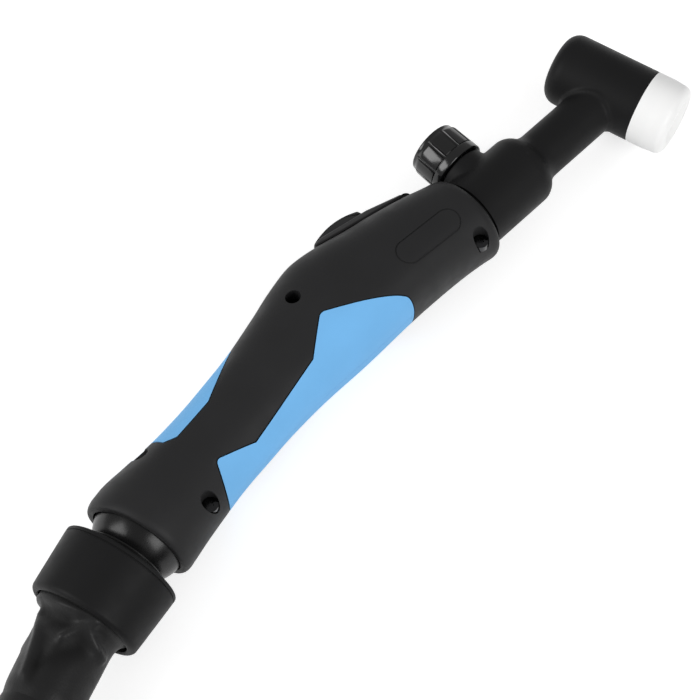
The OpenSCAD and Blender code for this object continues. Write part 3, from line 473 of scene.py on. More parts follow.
def machined(name, tone, rough):
    """Turned metal: fine rings of the tool, and dull patches where it has been handled."""
    f = Finish(name, metal=1.0)
    tool = f.noise(500, 3, f.stretched((6, 1, 1)))
    f.colour(tone, f.between(f.noise(120, 4), 0.82, 1.08, 0.3, 0.7))
    f.roughness(f.between(tool, rough - 0.1, rough + 0.12, 0.3, 0.7))
    f.relief((tool, 0.006))
    return f.mat


def ceramic(name, tone, rough):
    """Pale moulded insulator with a faint bloom."""
    f = Finish(name, specular=0.35)
    f.colour(tone, f.between(f.noise(70, 5), 0.965, 1.0, 0.3, 0.7))
    f.roughness(f.between(f.noise(260, 4), rough - 0.08, rough + 0.08, 0.3, 0.7))
    f.relief((f.noise(1800, 3), 0.006), (f.noise(90, 2), 0.03))
    return f.mat


def hide(name, tone, rough, specular=0.3):
    """Soft leather of the cable's sleeve: fine pores, long wrinkles, dull in the hollows of its folds
    and smooth on their ridges; painted shade darkens the hollows and painted highlight lightens the
    ridges."""
    f = Finish(name, sheen=0.08, specular=specular)
    wrinkle = f.noise(210, 5, f.stretched((1, 0.45, 1)))
    shade = f.times(f.between(f.noise(30, 4), 0.88, 1.12, 0.3, 0.7),
                    f.between(wrinkle, 0.9, 1.1, 0.3, 0.7))
    fold = f.tree.nodes.new("ShaderNodeAttribute")
    fold.attribute_name = "fold"
    # Painted shade and painted highlight: the colour is darkened in the folds' hollows and lightened on
    # their ridges, by the fold height.
    f.colour(tone, f.times(shade, f.between(fold.outputs["Fac"], 0.25, 1.75, -1, 1)))
    dull = f.between(fold.outputs["Fac"], 1.5, 0.8, -1, 1)
    f.roughness(f.times(dull, f.between(wrinkle, rough + 0.08, rough - 0.08, 0.3, 0.7)))
    f.relief((wrinkle, 0.05), (f.pebbles(1500), 0.03), (f.noise(4200, 2), 0.01))
    return f.mat


def woven(name, tone, rough):
    """Hook-and-loop webbing: a tight weave of threads that cross, with a fuzzy edge."""
    f = Finish(name, sheen=0.35, specular=0.15)
    threads = []
    for axes in ("Z", "DIAGONAL"):
        wave = f.tree.nodes.new("ShaderNodeTexWave")
        wave.wave_type, wave.bands_direction = "BANDS", axes
        wave.inputs["Scale"].default_value = 260
        wave.inputs["Distortion"].default_value = 0.6
        f.tree.links.new(f.place, wave.inputs["Vector"])
        threads.append(wave.outputs["Fac"])
    weave = f.times(*threads)
    f.colour(tone, f.between(weave, 0.6, 1.3))
    f.roughness(f.between(weave, rough + 0.08, rough - 0.08))
    f.relief((weave, 0.12), (f.noise(2600, 3), 0.04))
    return f.mat


# Each finish by name: how it is made, its tone and its settings.
LOOKS = {
    "moulded_black": (moulded, (0.0093, 0.0093, 0.0096), 0.5, 0.11, 0.012, 1.3),
    "knuckle_black": (glossy, (0.005, 0.005, 0.0052), 0.27, 0.28),
    "insulator_white": (ceramic, (0.9, 0.9, 0.895), 0.42),
    "handle_charcoal": (moulded, (0.0185, 0.0185, 0.0192), 0.52, 0.15, 0.016, 1.25),
    "grip_blue": (rubber, (0.178, 0.468, 0.823), 0.72, 0.12, 0.03),
    "knob_black": (glossy, (0.0028, 0.0028, 0.003), 0.15, 0.5),
    "trigger_black": (moulded, (0.018, 0.018, 0.0186), 0.42, 0.3, 0.012, 1.3),
    # The trigger's black made lighter for the plate: painted light on its side, which sits in the shade
    # of the slot.
    "plate_black_painted_light": (moulded, (0.04, 0.04, 0.041), 0.42, 0.3),
    "collar_black": (moulded, (0.0092, 0.0092, 0.0095), 0.5, 0.1, 0.008),
    "inner_black": (moulded, (0.0055, 0.0055, 0.0057), 0.55, 0.1),
    "screw_black": (machined, (0.035, 0.035, 0.037), 0.24),
    "plunger_red": (glossy, (0.45, 0.05, 0.03), 0.35),
    "liner_ivory": (ceramic, (0.62, 0.58, 0.49), 0.45),
    "brass": (machined, (0.72, 0.50, 0.22), 0.3),
    "copper": (machined, (0.62, 0.30, 0.17), 0.35),
    "steel": (machined, (0.42, 0.42, 0.43), 0.34),
    "hose_rubber": (rubber, (0.015, 0.015, 0.015), 0.7),
    "lead_red": (rubber, (0.35, 0.04, 0.03), 0.5),
    "sleeve_black": (hide, (0.008, 0.008, 0.0082), 0.46, 0.17),
    "strap_black": (woven, (0.016, 0.016, 0.017), 0.8),
    "boot_rubber": (rubber, (0.0125, 0.0125, 0.0125), 0.55),
    "nut_black": (moulded, (0.0125, 0.0125, 0.013), 0.42, 0.25, 0.02, 1.35),
}
finishes = {name: make(name, *settings) for name, (make, *settings) in LOOKS.items()}


# ---- Handle form: its middle line and the tables of its section -----------------------------
def spine(u):
    """The handle's middle line: straight, a bend, then straight to the rear rim."""
    bend = BEND_R * REAR_TURN
    if u <= HANDLE_STRAIGHT:
        return -HANDLE_FRONT - u, 0.0, 0.0
    a = min((u - HANDLE_STRAIGHT) / BEND_R, REAR_TURN)
    x = -HANDLE_FRONT - HANDLE_STRAIGHT - BEND_R * sin(a)
    y = -BEND_R * (1 - cos(a))
    d = max(u - HANDLE_STRAIGHT - bend, 0)
    return x - d * cos(REAR_TURN), y - d * sin(REAR_TURN), a


BACK_RISE = ((0, 15), (7, 16.6), (14, 18.6), (27, 21.4), (37, 23.1), (46, 25), (53, 26), (59, 26),
             (69, 23.7), (78, 20.9), (94, 16.5), (108, 14), (118, 13.3), (128, 13.8), (138, 15.8),
             (146, 17.8), (154, 18.2))
BELLY_DROP = ((0, 15.8), (9, 14), (20, 12.9), (38, 12.5), (60, 13.3), (78, 13.5), (92, 14.5),
              (106, 16.1), (120, 16.9), (132, 17.5), (146, 17.7), (154, 17.7))
HALF_THICK = ((0, 15.6), (30, 15.7), (54, 15.8), (80, 15.2), (100, 14.6), (118, 14.8),
              (130, 15.9), (141, 17.4), (147, 17.9), (154, 18))
SQUARENESS = ((0, 2), (20, 2.25), (54, 2.4), (95, 2.3), (125, 2.15), (143, 2), (154, 2))
FRONT_FILLET, FRONT_DEPTH, REAR_FILLET, REAR_DEPTH = 3.2, 2.2, 3.2, 1.2
SECTION_STEPS, STATION_GAP = 60, 1.4
WALL, FRONT_BORE_R, SEAT_R, MOUTH_R, SEAT_LEN, MOUTH_LEN = 2.4, 12.9, 16.85, 15.2, 10.8, 0.7


def through(table, x):
    """The value at x on a smooth curve through a table of (place, value)."""
    i = 0
    while i < len(table) - 2 and x >= table[i + 1][0]:
        i += 1

    def lean(j):
        a, b = max(j - 1, 0), min(j + 1, len(table) - 1)
        return (table[b][1] - table[a][1]) / (table[b][0] - table[a][0])

    h = table[i + 1][0] - table[i][0]
    k = min(max((x - table[i][0]) / h, 0), 1)
    return (table[i][1] * (2 * k**3 - 3 * k**2 + 1) + lean(i) * h * (k**3 - 2 * k**2 + k)
            + table[i + 1][1] * (3 * k**2 - 2 * k**3) + lean(i + 1) * h * (k**3 - k**2))


def section(u, rise, drop, thick, n, wave):
    """Half a section, from the back over the side to the belly."""
    x, y, turn = spine(u)
    points = []
    for i in range(SECTION_STEPS + 1):
        a = pi * i / SECTION_STEPS
        c = abs(cos(a)) ** (2 / n)
        v = rise * c if a <= pi / 2 else -drop * c
        z = 0.0 if i in (0, SECTION_STEPS) else thick * abs(sin(a)) ** (2 / n)
        f = wave * (0.8 * sin(a) ** 2 - 0.6 * cos(a))
        points.append((x - v * sin(turn) + f * cos(turn), y + v * cos(turn) + f * sin(turn), z))
    return points


def rim_inset(u):
    f, r = u - RIM_AT, HANDLE_LEN - u
    if f < FRONT_FILLET:
        return FRONT_DEPTH * (1 - sqrt(max(1 - (1 - f / FRONT_FILLET) ** 2, 0)))
    if r < REAR_FILLET:
        return REAR_DEPTH * (1 - sqrt(max(1 - (1 - r / REAR_FILLET) ** 2, 0)))
    return 0.0


def skin_section(u, inset):
    d = inset + rim_inset(u)
    wave = min(max((u - HANDLE_LEN + 12) / 12, 0), 1) ** 2
    return section(u, through(BACK_RISE, u) - d, through(BELLY_DROP, u) - d,
                   through(HALF_THICK, u) - d, through(SQUARENESS, u), wave)


def inside_section(u):
    if u <= 4.8:
        return section(u, FRONT_BORE_R, FRONT_BORE_R, FRONT_BORE_R, 2, 0)
    if u >= HANDLE_LEN - MOUTH_LEN:
        return section(u, MOUTH_R, MOUTH_R, MOUTH_R, 2, 1)
    if u >= HANDLE_LEN - SEAT_LEN:
        return section(u, SEAT_R, SEAT_R, SEAT_R, 2, 0)
    return section(u, through(BACK_RISE, u) - WALL, through(BELLY_DROP, u) - WALL,
                   through(HALF_THICK, u) - WALL, through(SQUARENESS, u), 0)


def stations():
    """The places along the handle where its section is drawn."""
    s = [RIM_AT + FRONT_FILLET * (1 - cos(pi / 2 * i / 8)) for i in range(9)]
    s += [5.0] + list(np.arange(5 + STATION_GAP, 142, STATION_GAP)) + [142.4, 142.6, 144.5, 146.5]
    s += [HANDLE_LEN - REAR_FILLET * (1 - sin(pi / 2 * i / 9)) for i in range(10)]
    s += [HANDLE_LEN - 0.8, HANDLE_LEN - 0.7]
    return sorted(set(s))


def rounded(corners):
    """An outline from (x, y, radius) corners, each turned on its own arc."""
    out, n = [], len(corners)
    for i, (x, y, r) in enumerate(corners):
        p = Vector((x, y))
        a = (Vector(corners[i - 1][:2]) - p).normalized()
        b = (Vector(corners[(i + 1) % n][:2]) - p).normalized()
        half = a.angle(b) / 2
        if r == 0:
            out.append((x, y))
            continue
        reach = r / np.tan(half)
        start, stop = p + a * reach, p + b * reach
        mid = p + (a + b).normalized() * (r / sin(half))
        t0 = atan2(start.y - mid.y, start.x - mid.x)
        t1 = atan2(stop.y - mid.y, stop.x - mid.x)
        turn = (t1 - t0 + pi) % (2 * pi) - pi
        steps = max(int(abs(turn) / radians(9)), 2)
        out += [(mid.x + r * cos(t0 + turn * k / steps), mid.y + r * sin(t0 + turn * k / steps))
                for k in range(steps + 1)]
    return out


def drawn_in(outline, d):
    """The outline moved inwards by d."""
    area = sum(outline[i - 1][0] * outline[i][1] - outline[i][0] * outline[i - 1][1]
               for i in range(len(outline)))
    s = 1 if area > 0 else -1
    out, n = [], len(outline)
    for i in range(n):
        p = Vector(outline[i])
        a = (p - Vector(outline[i - 1])).normalized()
        b = (Vector(outline[(i + 1) % n]) - p).normalized()
        na, nb = Vector((-a.y, a.x)) * s, Vector((-b.y, b.x)) * s
        m = na + nb
        out.append(tuple(p + m * (2 * d / m.length_squared)))
    return out


BELLY_GRIP = ((-107, -24, 0), (-106, -13.4, 3), (-107.2, -10.3, 3), (-110.4, -8.4, 3),
              (-132.7, 3.3, 2.8), (-145, -6.3, 0.3), (-175, -12.7, 0.3), (-188.5, -9.6, 2),
              (-195, -24, 0))
BACK_GRIP = ((-155, 24, 0), (-158.6, 15.5, 0.3), (-177, 5.4, 1), (-192, 3.1, 2), (-196, 5, 1),
             (-201, 22, 0))


# ---- Cable ----------------------------------------------------------------------------------
def ease(k):
    q = min(max(k, 0.0), 1.0)
    return q * q * (3 - 2 * q)


CUFF_FROM, RUN_FROM, CUFF_END = 26.0, 29.5, 62.0
COIL_AT, COIL_R, PITCH, START, IN, OUT, TAIL = (-336, -247), 156, 25, 132, 2.0, 1.6, 0.3
COIL_Z, PLUG_Z = CABLE_R + 1.2 - COLLAR_R, 19 - COLLAR_R


def coil_point(t):
    """A point of the coil, t turns from its start: in, up a layer, out, and down to the plug."""
    top, tail = IN + 0.5, IN + 0.5 + OUT
    if t <= IN:
        r = COIL_R - PITCH * t
    elif t <= top:
        r = COIL_R - PITCH * IN - PITCH * ((t - IN) - 2 * (t - IN) ** 2)
    else:
        r = COIL_R - PITCH * IN + PITCH * (t - top)
        if t > tail:
            r += 32 * ease((t - tail) / TAIL)
    z = COIL_Z + PITCH * ease((t - IN) / 0.5)
    z += (PLUG_Z - COIL_Z - PITCH) * ease((t - tail - 0.08) / (TAIL - 0.08))
    a = radians(START + 360 * t)
    return np.array((COIL_AT[0] + r * cos(a), COIL_AT[1] + r * sin(a), z))


def level(v):
    v = np.array((v[0], v[1], 0.0))
    return v / np.linalg.norm(v)


def rear_point(w):
    """A point on the swivel's axis, w behind the ball."""
    e = spine(HANDLE_LEN - 3.1)
    return np.array((e[0] - w * cos(REAR_TURN), e[1] - w * sin(REAR_TURN), 0.0))


coil_end = IN + 0.5 + OUT + TAIL
first, last = coil_point(0), coil_point(coil_end)
in_dir = level(coil_point(0.01) - first)
out_dir = level(last - coil_point(coil_end - 0.01))
plug_at = last + out_dir * 24
run_first = rear_point(RUN_FROM)
head_dir = np.array((cos(radians(201.5)), sin(radians(201.5)), 0.0))
coil_steps = round(coil_end * 24)
route = [run_first, run_first + head_dir * 12, run_first + head_dir * 24]
route += [np.array(p) for p in (
    (-285.5, -31, -0.3), (-303.9, -39, -0.9), (-322.1, -47.4, -1.8), (-340.1, -56.3, -2.9),
    (-357.8, -65.8, -4), (-375, -76.2, -4.9), (-391.8, -87.7, -5.6), (-407.8, -100.2, -6))]
route += [first - in_dir * 24, first - in_dir * 12]
route += [coil_point(coil_end * i / coil_steps) for i in range(coil_steps + 1)]
route += [last + out_dir * 12, plug_at]
route = np.array(route)


def along(points, step):
    """The points of a smooth curve through the given ones, about a step apart."""
    p = np.vstack((2 * points[0] - points[1], points, 2 * points[-1] - points[-2]))
    out = []
    for i in range(1, len(p) - 2):
        a, b = p[i], p[i + 1]
        gap = np.linalg.norm(b - a)
        n = max(int(round(gap / step)), 1)
        ta = (b - p[i - 1]) / (gap + np.linalg.norm(a - p[i - 1])) * gap
        tb = (p[i + 2] - a) / (gap + np.linalg.norm(p[i + 2] - b)) * gap
        for k in range(n):
            s = k / n
            out.append(a * (2 * s**3 - 3 * s**2 + 1) + ta * (s**3 - 2 * s**2 + s)
                       + b * (3 * s**2 - 2 * s**3) + tb * (s**3 - s**2))
    out.append(points[-1])
    return np.array(out)


def ring_at(line, i, radius, sides):
    """A ring of points round the line's i-th point; radius(a) is its size at angle a from the
    top, turning towards the belly side."""
    d = line[min(i + 1, len(line) - 1)] - line[max(i - 1, 0)]
    d = d / np.linalg.norm(d)
    side = np.cross((0, 0, 1.0), d)
    side /= np.linalg.norm(side)
    up = np.cross(d, side)
    turns = [2 * pi * k / sides for k in range(sides)]
    return [line[i] + radius(a) * (cos(a) * up + sin(a) * side) for a in turns]


def lengths(line):
    """How far along the line each of its points lies."""
    return np.concatenate(([0], np.cumsum(np.linalg.norm(np.diff(line, axis=0), axis=1))))


# Hidden under the cuff's skin the sleeve is thinner.
COVERED, SLEEVE_SKIN = 26.0, CABLE_R - 0.22


def crease(a, s):
    """Long shallow waves of the fabric, at angle a and a distance s along it."""
    return 0.12 * sin(3 * a + 0.062 * s) + 0.1 * sin(5 * a - 0.106 * s + 1)


def sleeve():
    """The cable's soft sleeve: a fabric tube with long shallow creases."""
    line = along(route, 5.0)
    far = lengths(line)
    rings = []
    for i in range(len(line)):
        skin = SLEEVE_SKIN - 1.6 * (1 - ease((far[i] - COVERED) / 5))
        rings.append(ring_at(line, i, lambda a: skin + crease(a, far[i]), 32))
    return rings_solid("cable_sleeve", rings), line, far[-1] / 1000


# The cuff's radius by the distance behind the ball, and how much more it swells at the collar's
# lip on the side where the bent cable pulls it up.
CUFF_SIZE = ((26, 15.1), (30.6, 15.2), (31.7, 15.45), (32.2, 15.15), (32.6, 14.2), (33, 13.4),
             (33.8, 12.6), (35, 12.2), (37, 12.05), (44, 12.15), (52, 12.05), (57, 11.9),
             (60, 11.4), (62, 11))
CUFF_SWELL = ((26, 0), (31.7, 0.05), (32.2, 0.4), (32.6, 1.75), (33, 2.7), (33.8, 2.9),
              (35, 1.9), (37, 1.05), (39, 0.6), (44, 0), (62, 0))
SWELL_AT = radians(25)
# Its folds: each is a path of (distance, turn from the top in degrees), a height and a half width
# in millimetres.
FOLDS = (
    (((32.6, -45), (33.4, -15), (34.6, 5)), 0.55, 1.3),
    (((35.8, -50), (37.4, -20), (37, -3)), -0.95, 2.3),
    (((34.8, 27), (37.3, 13), (39.4, 5), (41.5, -1)), 1.35, 1.4),
    (((50, -17), (46.8, 3), (44.2, 14), (41.3, 27)), -1.0, 3.1),
    (((37.4, 28), (39.2, 45), (40.8, 70)), 1.1, 1.4),
    (((36.5, -62), (43, -42), (49.3, -32), (55, -26)), 0.9, 1.9),
    (((42.5, -24), (48, -19), (55, -15)), -0.55, 2.0),
    (((34, 150), (38, 163), (43, 172)), 0.8, 1.9),
    (((37, 196), (41, 214), (48, 226)), 0.7, 2.2),
    (((38, 118), (43, 126), (50, 122)), -1.0, 3.0),
    (((36, 250), (40, 262), (46, 268)), 0.7, 2.0),
)


def fold_height(s, a):
    """How far the cuff's skin stands out or in at distance s and angle a."""
    total = 0.0
    for path, height, half_width in FOLDS:
        nearest = 1e9
        for (s0, a0), (s1, a1) in zip(path, path[1:]):
            turn = (a - radians(a0) + pi) % (2 * pi) - pi
            p = Vector((s - s0, 12.5 * turn))
            d = Vector((s1 - s0, 12.5 * radians(a1 - a0)))
            k = min(max(p.dot(d) / d.length_squared, 0), 1)
            nearest = min(nearest, (p - k * d).length)
        total += height * np.exp(-(nearest / half_width) ** 2)
    return total


def cuff():
    """The sleeve's end: it swells out of the collar's mouth and sinks into folds behind it."""
    start = [rear_point(w) for w in np.arange(CUFF_FROM, RUN_FROM, 0.7)]
    line = along(np.array([*start, *route[:4]]), 0.7)
    s = CUFF_FROM + lengths(line)
    line = line[s < CUFF_END]
    rings, folds, sides = [], [], 128
    for i in range(len(line)):
        size, more = through(CUFF_SIZE, s[i]), through(CUFF_SWELL, s[i])
        free = ease((s[i] - 32.2) / 1.6) * (1 - ease((s[i] - 54) / 6))
        lift = [free * max(fold_height(s[i], 2 * pi * k / sides), -1.4) for k in range(sides)]
        rings.append(ring_at(line, i, lambda a: size + lift[round(a * sides / (2 * pi))]
                             + more * (0.5 + 0.5 * cos(a - SWELL_AT)) ** 2
                             + crease(a, s[i] - RUN_FROM) * ease((s[i] - 40) / 10), sides))
        folds += lift
    skin = rings_solid("sleeve_cuff_skin", rings)
    # The fold heights are kept on the skin; the sleeve's finish paints shade into the hollows and
    # highlight onto the ridges from them.
    skin.data.attributes.new("fold", "FLOAT", "POINT").data.foreach_set("value", folds)
    return skin


# ---- Straps and plug on the cable's far end --------------------------------------------------
STRAP_TURNS = (30, 158, 325)
STRAP_T, STRAP_W = 1.2, 20.0


def coil_straps():
    """Three straps round the coil, each closed on itself."""
    inner = COIL_R - PITCH * (IN + 0.125) - CABLE_R - 1
    outer = COIL_R + CABLE_R + 1
    tall = PITCH + 2 * CABLE_R + 0.6
    half = (inner + outer) / 2
    obj = spots("coil_straps", [(COIL_AT[0] + half * cos(radians(a)),
                                 COIL_AT[1] + half * sin(radians(a)),
                                 STRAP_T + tall / 2 - COLLAR_R) for a in STRAP_TURNS],
                turn=[radians(a) for a in STRAP_TURNS])
    grown(obj, strap_tree(), "strap_black", span=outer - inner + STRAP_T,
          height=tall + STRAP_T, corner=CABLE_R - 0.5, width=STRAP_W, thickness=STRAP_T)
    return settle(obj, "cable_side", "strap_black", "coil_ties", sharp=50)


def frame_at(origin, axis, side=(0, 0, 1)):
    """A placing whose Z runs along the axis and whose X is turned towards side."""
    z = Vector(axis).normalized()
    x = (Vector(side) - z * Vector(side).dot(z)).normalized()
    return Matrix.Translation(origin) @ Matrix((x, z.cross(x), z)).transposed().to_4x4()


PLUG = frame_at(plug_at, out_dir)
BOOT_LEN, HOUSING_LEN, NUT_R, NUT_LEN = 34.0, 46.0, 19.0, 22.0
NUT_BACK = BOOT_LEN + HOUSING_LEN - 6
CORE_BORE_R, NUT_BORE_R = 14.1, 15.85


def plug_boot():
    """Tapered rubber boot with four rounded grooves round it, as on a boot made to flex."""
    side = [(CABLE_R + 0.2, 0.05), (CABLE_R + 0.9, 0.5), (CABLE_R + 1.5, 2)]
    for k in range(4):
        z = 6 + 6 * k
        deep = CABLE_R + 0.5 + z * 0.08
        rim = CABLE_R + 1.6 + (z - 2) * 0.094
        side += [(rim - 0.5, z - 0.6), (rim - 0.9, z), (deep, z + 0.5), (deep, z + 1.7),
                 (rim - 0.8, z + 2.2), (rim - 0.2, z + 2.9)]
    side += [(16.4, BOOT_LEN - 1.5), (16.1, BOOT_LEN - 0.4), (15.4, BOOT_LEN)]
    boot = turned("boot", [(0, 0.05), *side, (0, BOOT_LEN)], UPRIGHT)
    boot.data.transform(PLUG)
    return settle(boot, "cable_side", "boot_rubber", "plug_boot", sharp=50)


def plug_grip():
    """Housing that the hand holds: a sleeve with twelve rounded ribs."""
    z = BOOT_LEN
    shell = turned("grip", [(0, z + 0.1), (16.2, z + 0.1), (17.2, z + 1.1), (17.2, z + 37),
                            (16.6, z + 38), (0, z + 38)], UPRIGHT, 96)
    grown(shell, ring_tree("grip_ribs", "UNION"), "inner_black", count=12, reach=16.6,
          depth=1.4, start=z + 4, length=26.0, turn=radians(15))
    eased(shell, 0.4, 50, 3)
    cut(shell, drum("bore", CORE_BORE_R, z + 4, z + 60, sides=96))
    shell.data.transform(PLUG)
    return settle(shell, "cable_side", "inner_black", "plug_housing", sharp=40)


def plug_nut():
    """Coupling nut with six finger hollows and broken edges."""
    z = NUT_BACK
    nut = turned("nut", [(0, z), (NUT_R - 1.6, z), *arc(NUT_R - 1.5, z + 1.5, 1.5, -80, 0, 5),
                         (NUT_R, z + 3), *arc(NUT_R - 0.8, z + NUT_LEN - 0.8, 0.8, 0, 90, 4),
                         (0, z + NUT_LEN)], UPRIGHT, 144)
    grown(nut, ring_tree("finger_hollows", "DIFFERENCE"), "nut_black", count=6,
          reach=NUT_R + 3, depth=5.0, start=z + 4, length=NUT_LEN)
    cut(nut, turned("bore", [(0, z - 1), (CORE_BORE_R, z - 1), (CORE_BORE_R, z + 6.9),
                             (NUT_BORE_R, z + 6.9), (NUT_BORE_R, z + 40), (0, z + 40)],
                    UPRIGHT, 96))
    eased(nut, 0.35, 40, 3)
    nut.data.transform(PLUG)
    return settle(nut, "plug_nut", "nut_black", "plug_union_nut", sharp=40)


def lay_cable():
    """The sleeve, the cuff at its near end and everything that hangs on it."""
    tube, line, length = sleeve()
    settle(tube, "cable_side", "sleeve_black", "cable_run", "cable_coil")
    settle(cuff(), "cable_side", "sleeve_black", "sleeve_cuff", sharp=80)
    hung = [coil_straps(), plug_boot(), plug_grip(), plug_nut()]
    hung += [solids[n] for n in ("plug_core", "plug_insulator", "plug_contacts", "plug_o_ring")]


lay_cable()


# ---- Axes of the torch ----------------------------------------------------------------------
NOZZLE = frame_at((0, 0, 0), (cos(NOZZLE_TURN), sin(NOZZLE_TURN), 0))
NECK = frame_at((0, 0, 0), (-1, 0, 0))
VALVE = frame_at((-58.4, 0, 0), (0, 1, 0), (1, 0, 0))
BALL_AT = spine(HANDLE_LEN - 3.1)
REAR = frame_at((BALL_AT[0], BALL_AT[1], 0), (-cos(REAR_TURN), -sin(REAR_TURN), 0))
TRIGGER = Matrix.Translation((-80.6, 17.1, 0)) @ Matrix.Rotation(radians(-9.6), 4, "Z")

# ---- Handle shells, with their pockets, recesses and openings --------------------------------
SCREWS = ((-75.9, -11.5, 2.7, 4.6), (-134.4, 13.3, 2.5, 5.0), (-197.9, -17.3, 2.7, 4.6))
CLIP = (-202.4, 9.4, 3.0, 4.0)
TOWER_R, POCKET_DEPTH, GRIP_THICK, GRIP_GAP = 3.3, 1.2, 1.15, 0.35
OVAL_ENDS, LINE_OUT_R, LINE_IN_R, LINE_DEPTH = ((-81.7, -1.9), (-98.1, -1.1)), 4.35, 3.85, 0.25


def form(inset, name="form"):
    """The left half of the handle as a full solid, drawn in by inset."""
    return rings_solid(name, [skin_section(u, inset) for u in stations()])


def oval(r):
    a, b = OVAL_ENDS
    lean = degrees(atan2(b[1] - a[1], b[0] - a[0]))
    return arc(*a, r, lean - 270, lean - 90, 24) + arc(*b, r, lean - 90, lean + 90, 24)


def trigger_slot():
    box = prism("slot", [(-36.8, -9), (4.2, -9), (4.2, 15), (-36.8, 15)], -5.3, 5.3)
    box.data.transform(TRIGGER)
    return eased(box, 0.5, rows=3)


def half_shell():
    """One shell as a wall with its screw towers, cut as both shells are."""
    shell = rings_solid("shell", [skin_section(u, 0) + inside_section(u)[::-1]
                                  for u in stations()])
    core = form(POCKET_DEPTH)
    for x, y in [s[:2] for s in SCREWS] + [CLIP[:2]]:
        tower = cut(rod("tower", x, y, TOWER_R, 0.05, 30), core, "INTERSECT", keep=True)
        cut(shell, tower, "UNION")
    cut(shell, turned("scoop", [(0, 13.3), (10.5, 13.3), (10.5, 16.1), (19, 23.1), (19, 34),
                                (0, 34)], VALVE))
    cut(shell, trigger_slot())
    for outline in (BELLY_GRIP, BACK_GRIP):
        cut(shell, cut(prism("pocket", rounded(outline), -1, 40), core, keep=True))
    line = cut(prism("line", oval(LINE_OUT_R), 0, 40), prism("land", oval(LINE_IN_R), -1, 41))
    cut(shell, cut(line, form(LINE_DEPTH)))
    cut(shell, rod("clip", *CLIP, 40))
    bpy.data.objects.remove(core)
    return shell


def mirrored(obj, name):
    """A copy on the other side of the torch's middle plane."""
    twin = linked(name, obj.data.copy())
    twin.data.transform(Matrix.Diagonal((1, 1, -1, 1)))
    twin.data.flip_normals()
    return twin


def dress_handle():
    left = half_shell()
    left.name = "shell_left"
    right = mirrored(left, "shell_right")
    for x, y, r, floor in SCREWS:
        cut(left, rod("recess", x, y, r, floor, 40))
        cut(left, rod("bore", x, y, 1.7, -1, floor + 1, 24))
        cut(right, rod("seat", x, y, 2.0, -4.1, 1, 24))
    settle(left, "handle", "handle_charcoal", "handle_shell_left")
    settle(right, "handle", "handle_charcoal", "handle_shell_right")
    inner = form(GRIP_THICK, "inner")
    for name, outline in (("belly", BELLY_GRIP), ("back", BACK_GRIP)):
        grip = form(0, "grip_%s_left" % name)
        cut(grip, prism("shape", drawn_in(rounded(outline), GRIP_GAP), 0.05, 40), "INTERSECT")
        cut(grip, inner, keep=True)
        twin = mirrored(grip, "grip_%s_right" % name)
        settle(grip, "handle", "grip_blue", "%s_grip_left" % name, sharp=45)
        settle(twin, "handle", "grip_blue", "%s_grip_right" % name, sharp=45)
    bpy.data.objects.remove(inner)


dress_handle()


# ---- Head: one moulding ----------------------------------------------------------------------
NECK_R, BULGE_R, NECK_LEN, SWELL_LEN, BULGE_END = 8.4, 12.3, 36.0, 9.0, 71.5
BARREL_R, BARREL_FRONT, BARREL_REAR, BARREL_FILLET = 12.5, 11.7, 21.0, 5.0
SKIN_GRAIN, SKIN_ROUNDS = 0.42, 9
GAP_R, GAP_RIM_R, GAP_FROM, GAP_TO = 11.1, 13.5, 67.6, 68.95


def swell(steps=14):
    """The neck's swelling: two arcs that meet halfway up the step."""
    step = BULGE_R - NECK_R
    r = (SWELL_LEN**2 / 4 + step**2 / 4) / step
    most = atan2(SWELL_LEN / 2, r - step / 2)
    lower = [(NECK_R + r * (1 - cos(most * i / steps)), NECK_LEN + r * sin(most * i / steps))
             for i in range(steps + 1)]
    upper = [(BULGE_R - (p[0] - NECK_R), 2 * NECK_LEN + SWELL_LEN - p[1]) for p in lower]
    return lower + upper[-2::-1]


def dress_head():
    """The barrel, the neck with a saddle on the barrel, the valve's swelling and its boss, run
    into each other as one soft moulding."""
    head = turned("head", [(0, BARREL_FRONT), (BARREL_R, BARREL_FRONT),
                           *arc(BARREL_R - BARREL_FILLET, BARREL_FILLET - BARREL_REAR,
                                BARREL_FILLET, 0, -90, 12), (0, -BARREL_REAR)], NOZZLE)
    saddle = rod("saddle", 0, 0, NECK_R + 0.9, 0, 20)
    saddle.data.transform(NECK)
    cut(saddle, drum("round", BARREL_R + 0.6, -14, 11.4, NOZZLE), "INTERSECT")
    cut(head, saddle, "UNION")
    cut(head, turned("neck", [(0, 0), (NECK_R, 0), *swell(), (BULGE_R, BULGE_END), (10, BULGE_END),
                              (10, 74), (7.4, 74), (7.4, 84), (0, 84)], NECK), "UNION")
    cut(head, drum("boss", 9, 0, 14, VALVE), "UNION")
    skin = head.modifiers.new("skin", "REMESH")
    skin.mode, skin.voxel_size = "VOXEL", SKIN_GRAIN
    soft = head.modifiers.new("soft", "SMOOTH")
    soft.factor, soft.iterations = 0.5, SKIN_ROUNDS
    baked(head)
    for place, r, low, high in ((NOZZLE, 7.05, -30, 20), (NECK, 4.05, 0, 51),
                                (NECK, 7.65, 49.95, 72.45), (NECK, 5.05, 71.4, 91.4),
                                (VALVE, 4.65, 0, 20)):
        cut(head, drum("bore", r, low, high, place, 64))
    cut(head, turned_ring("gap", [(GAP_R, GAP_FROM), (GAP_RIM_R, GAP_FROM), (GAP_RIM_R, GAP_TO),
                                  (GAP_R, GAP_TO)], NECK))
    settle(head, "handle", "moulded_black", "head_insulator", sharp=40)


dress_head()


# ---- Knob: a smooth flange under broad lands with narrow slots -------------------------------
KNOB_SEAT = 14.3


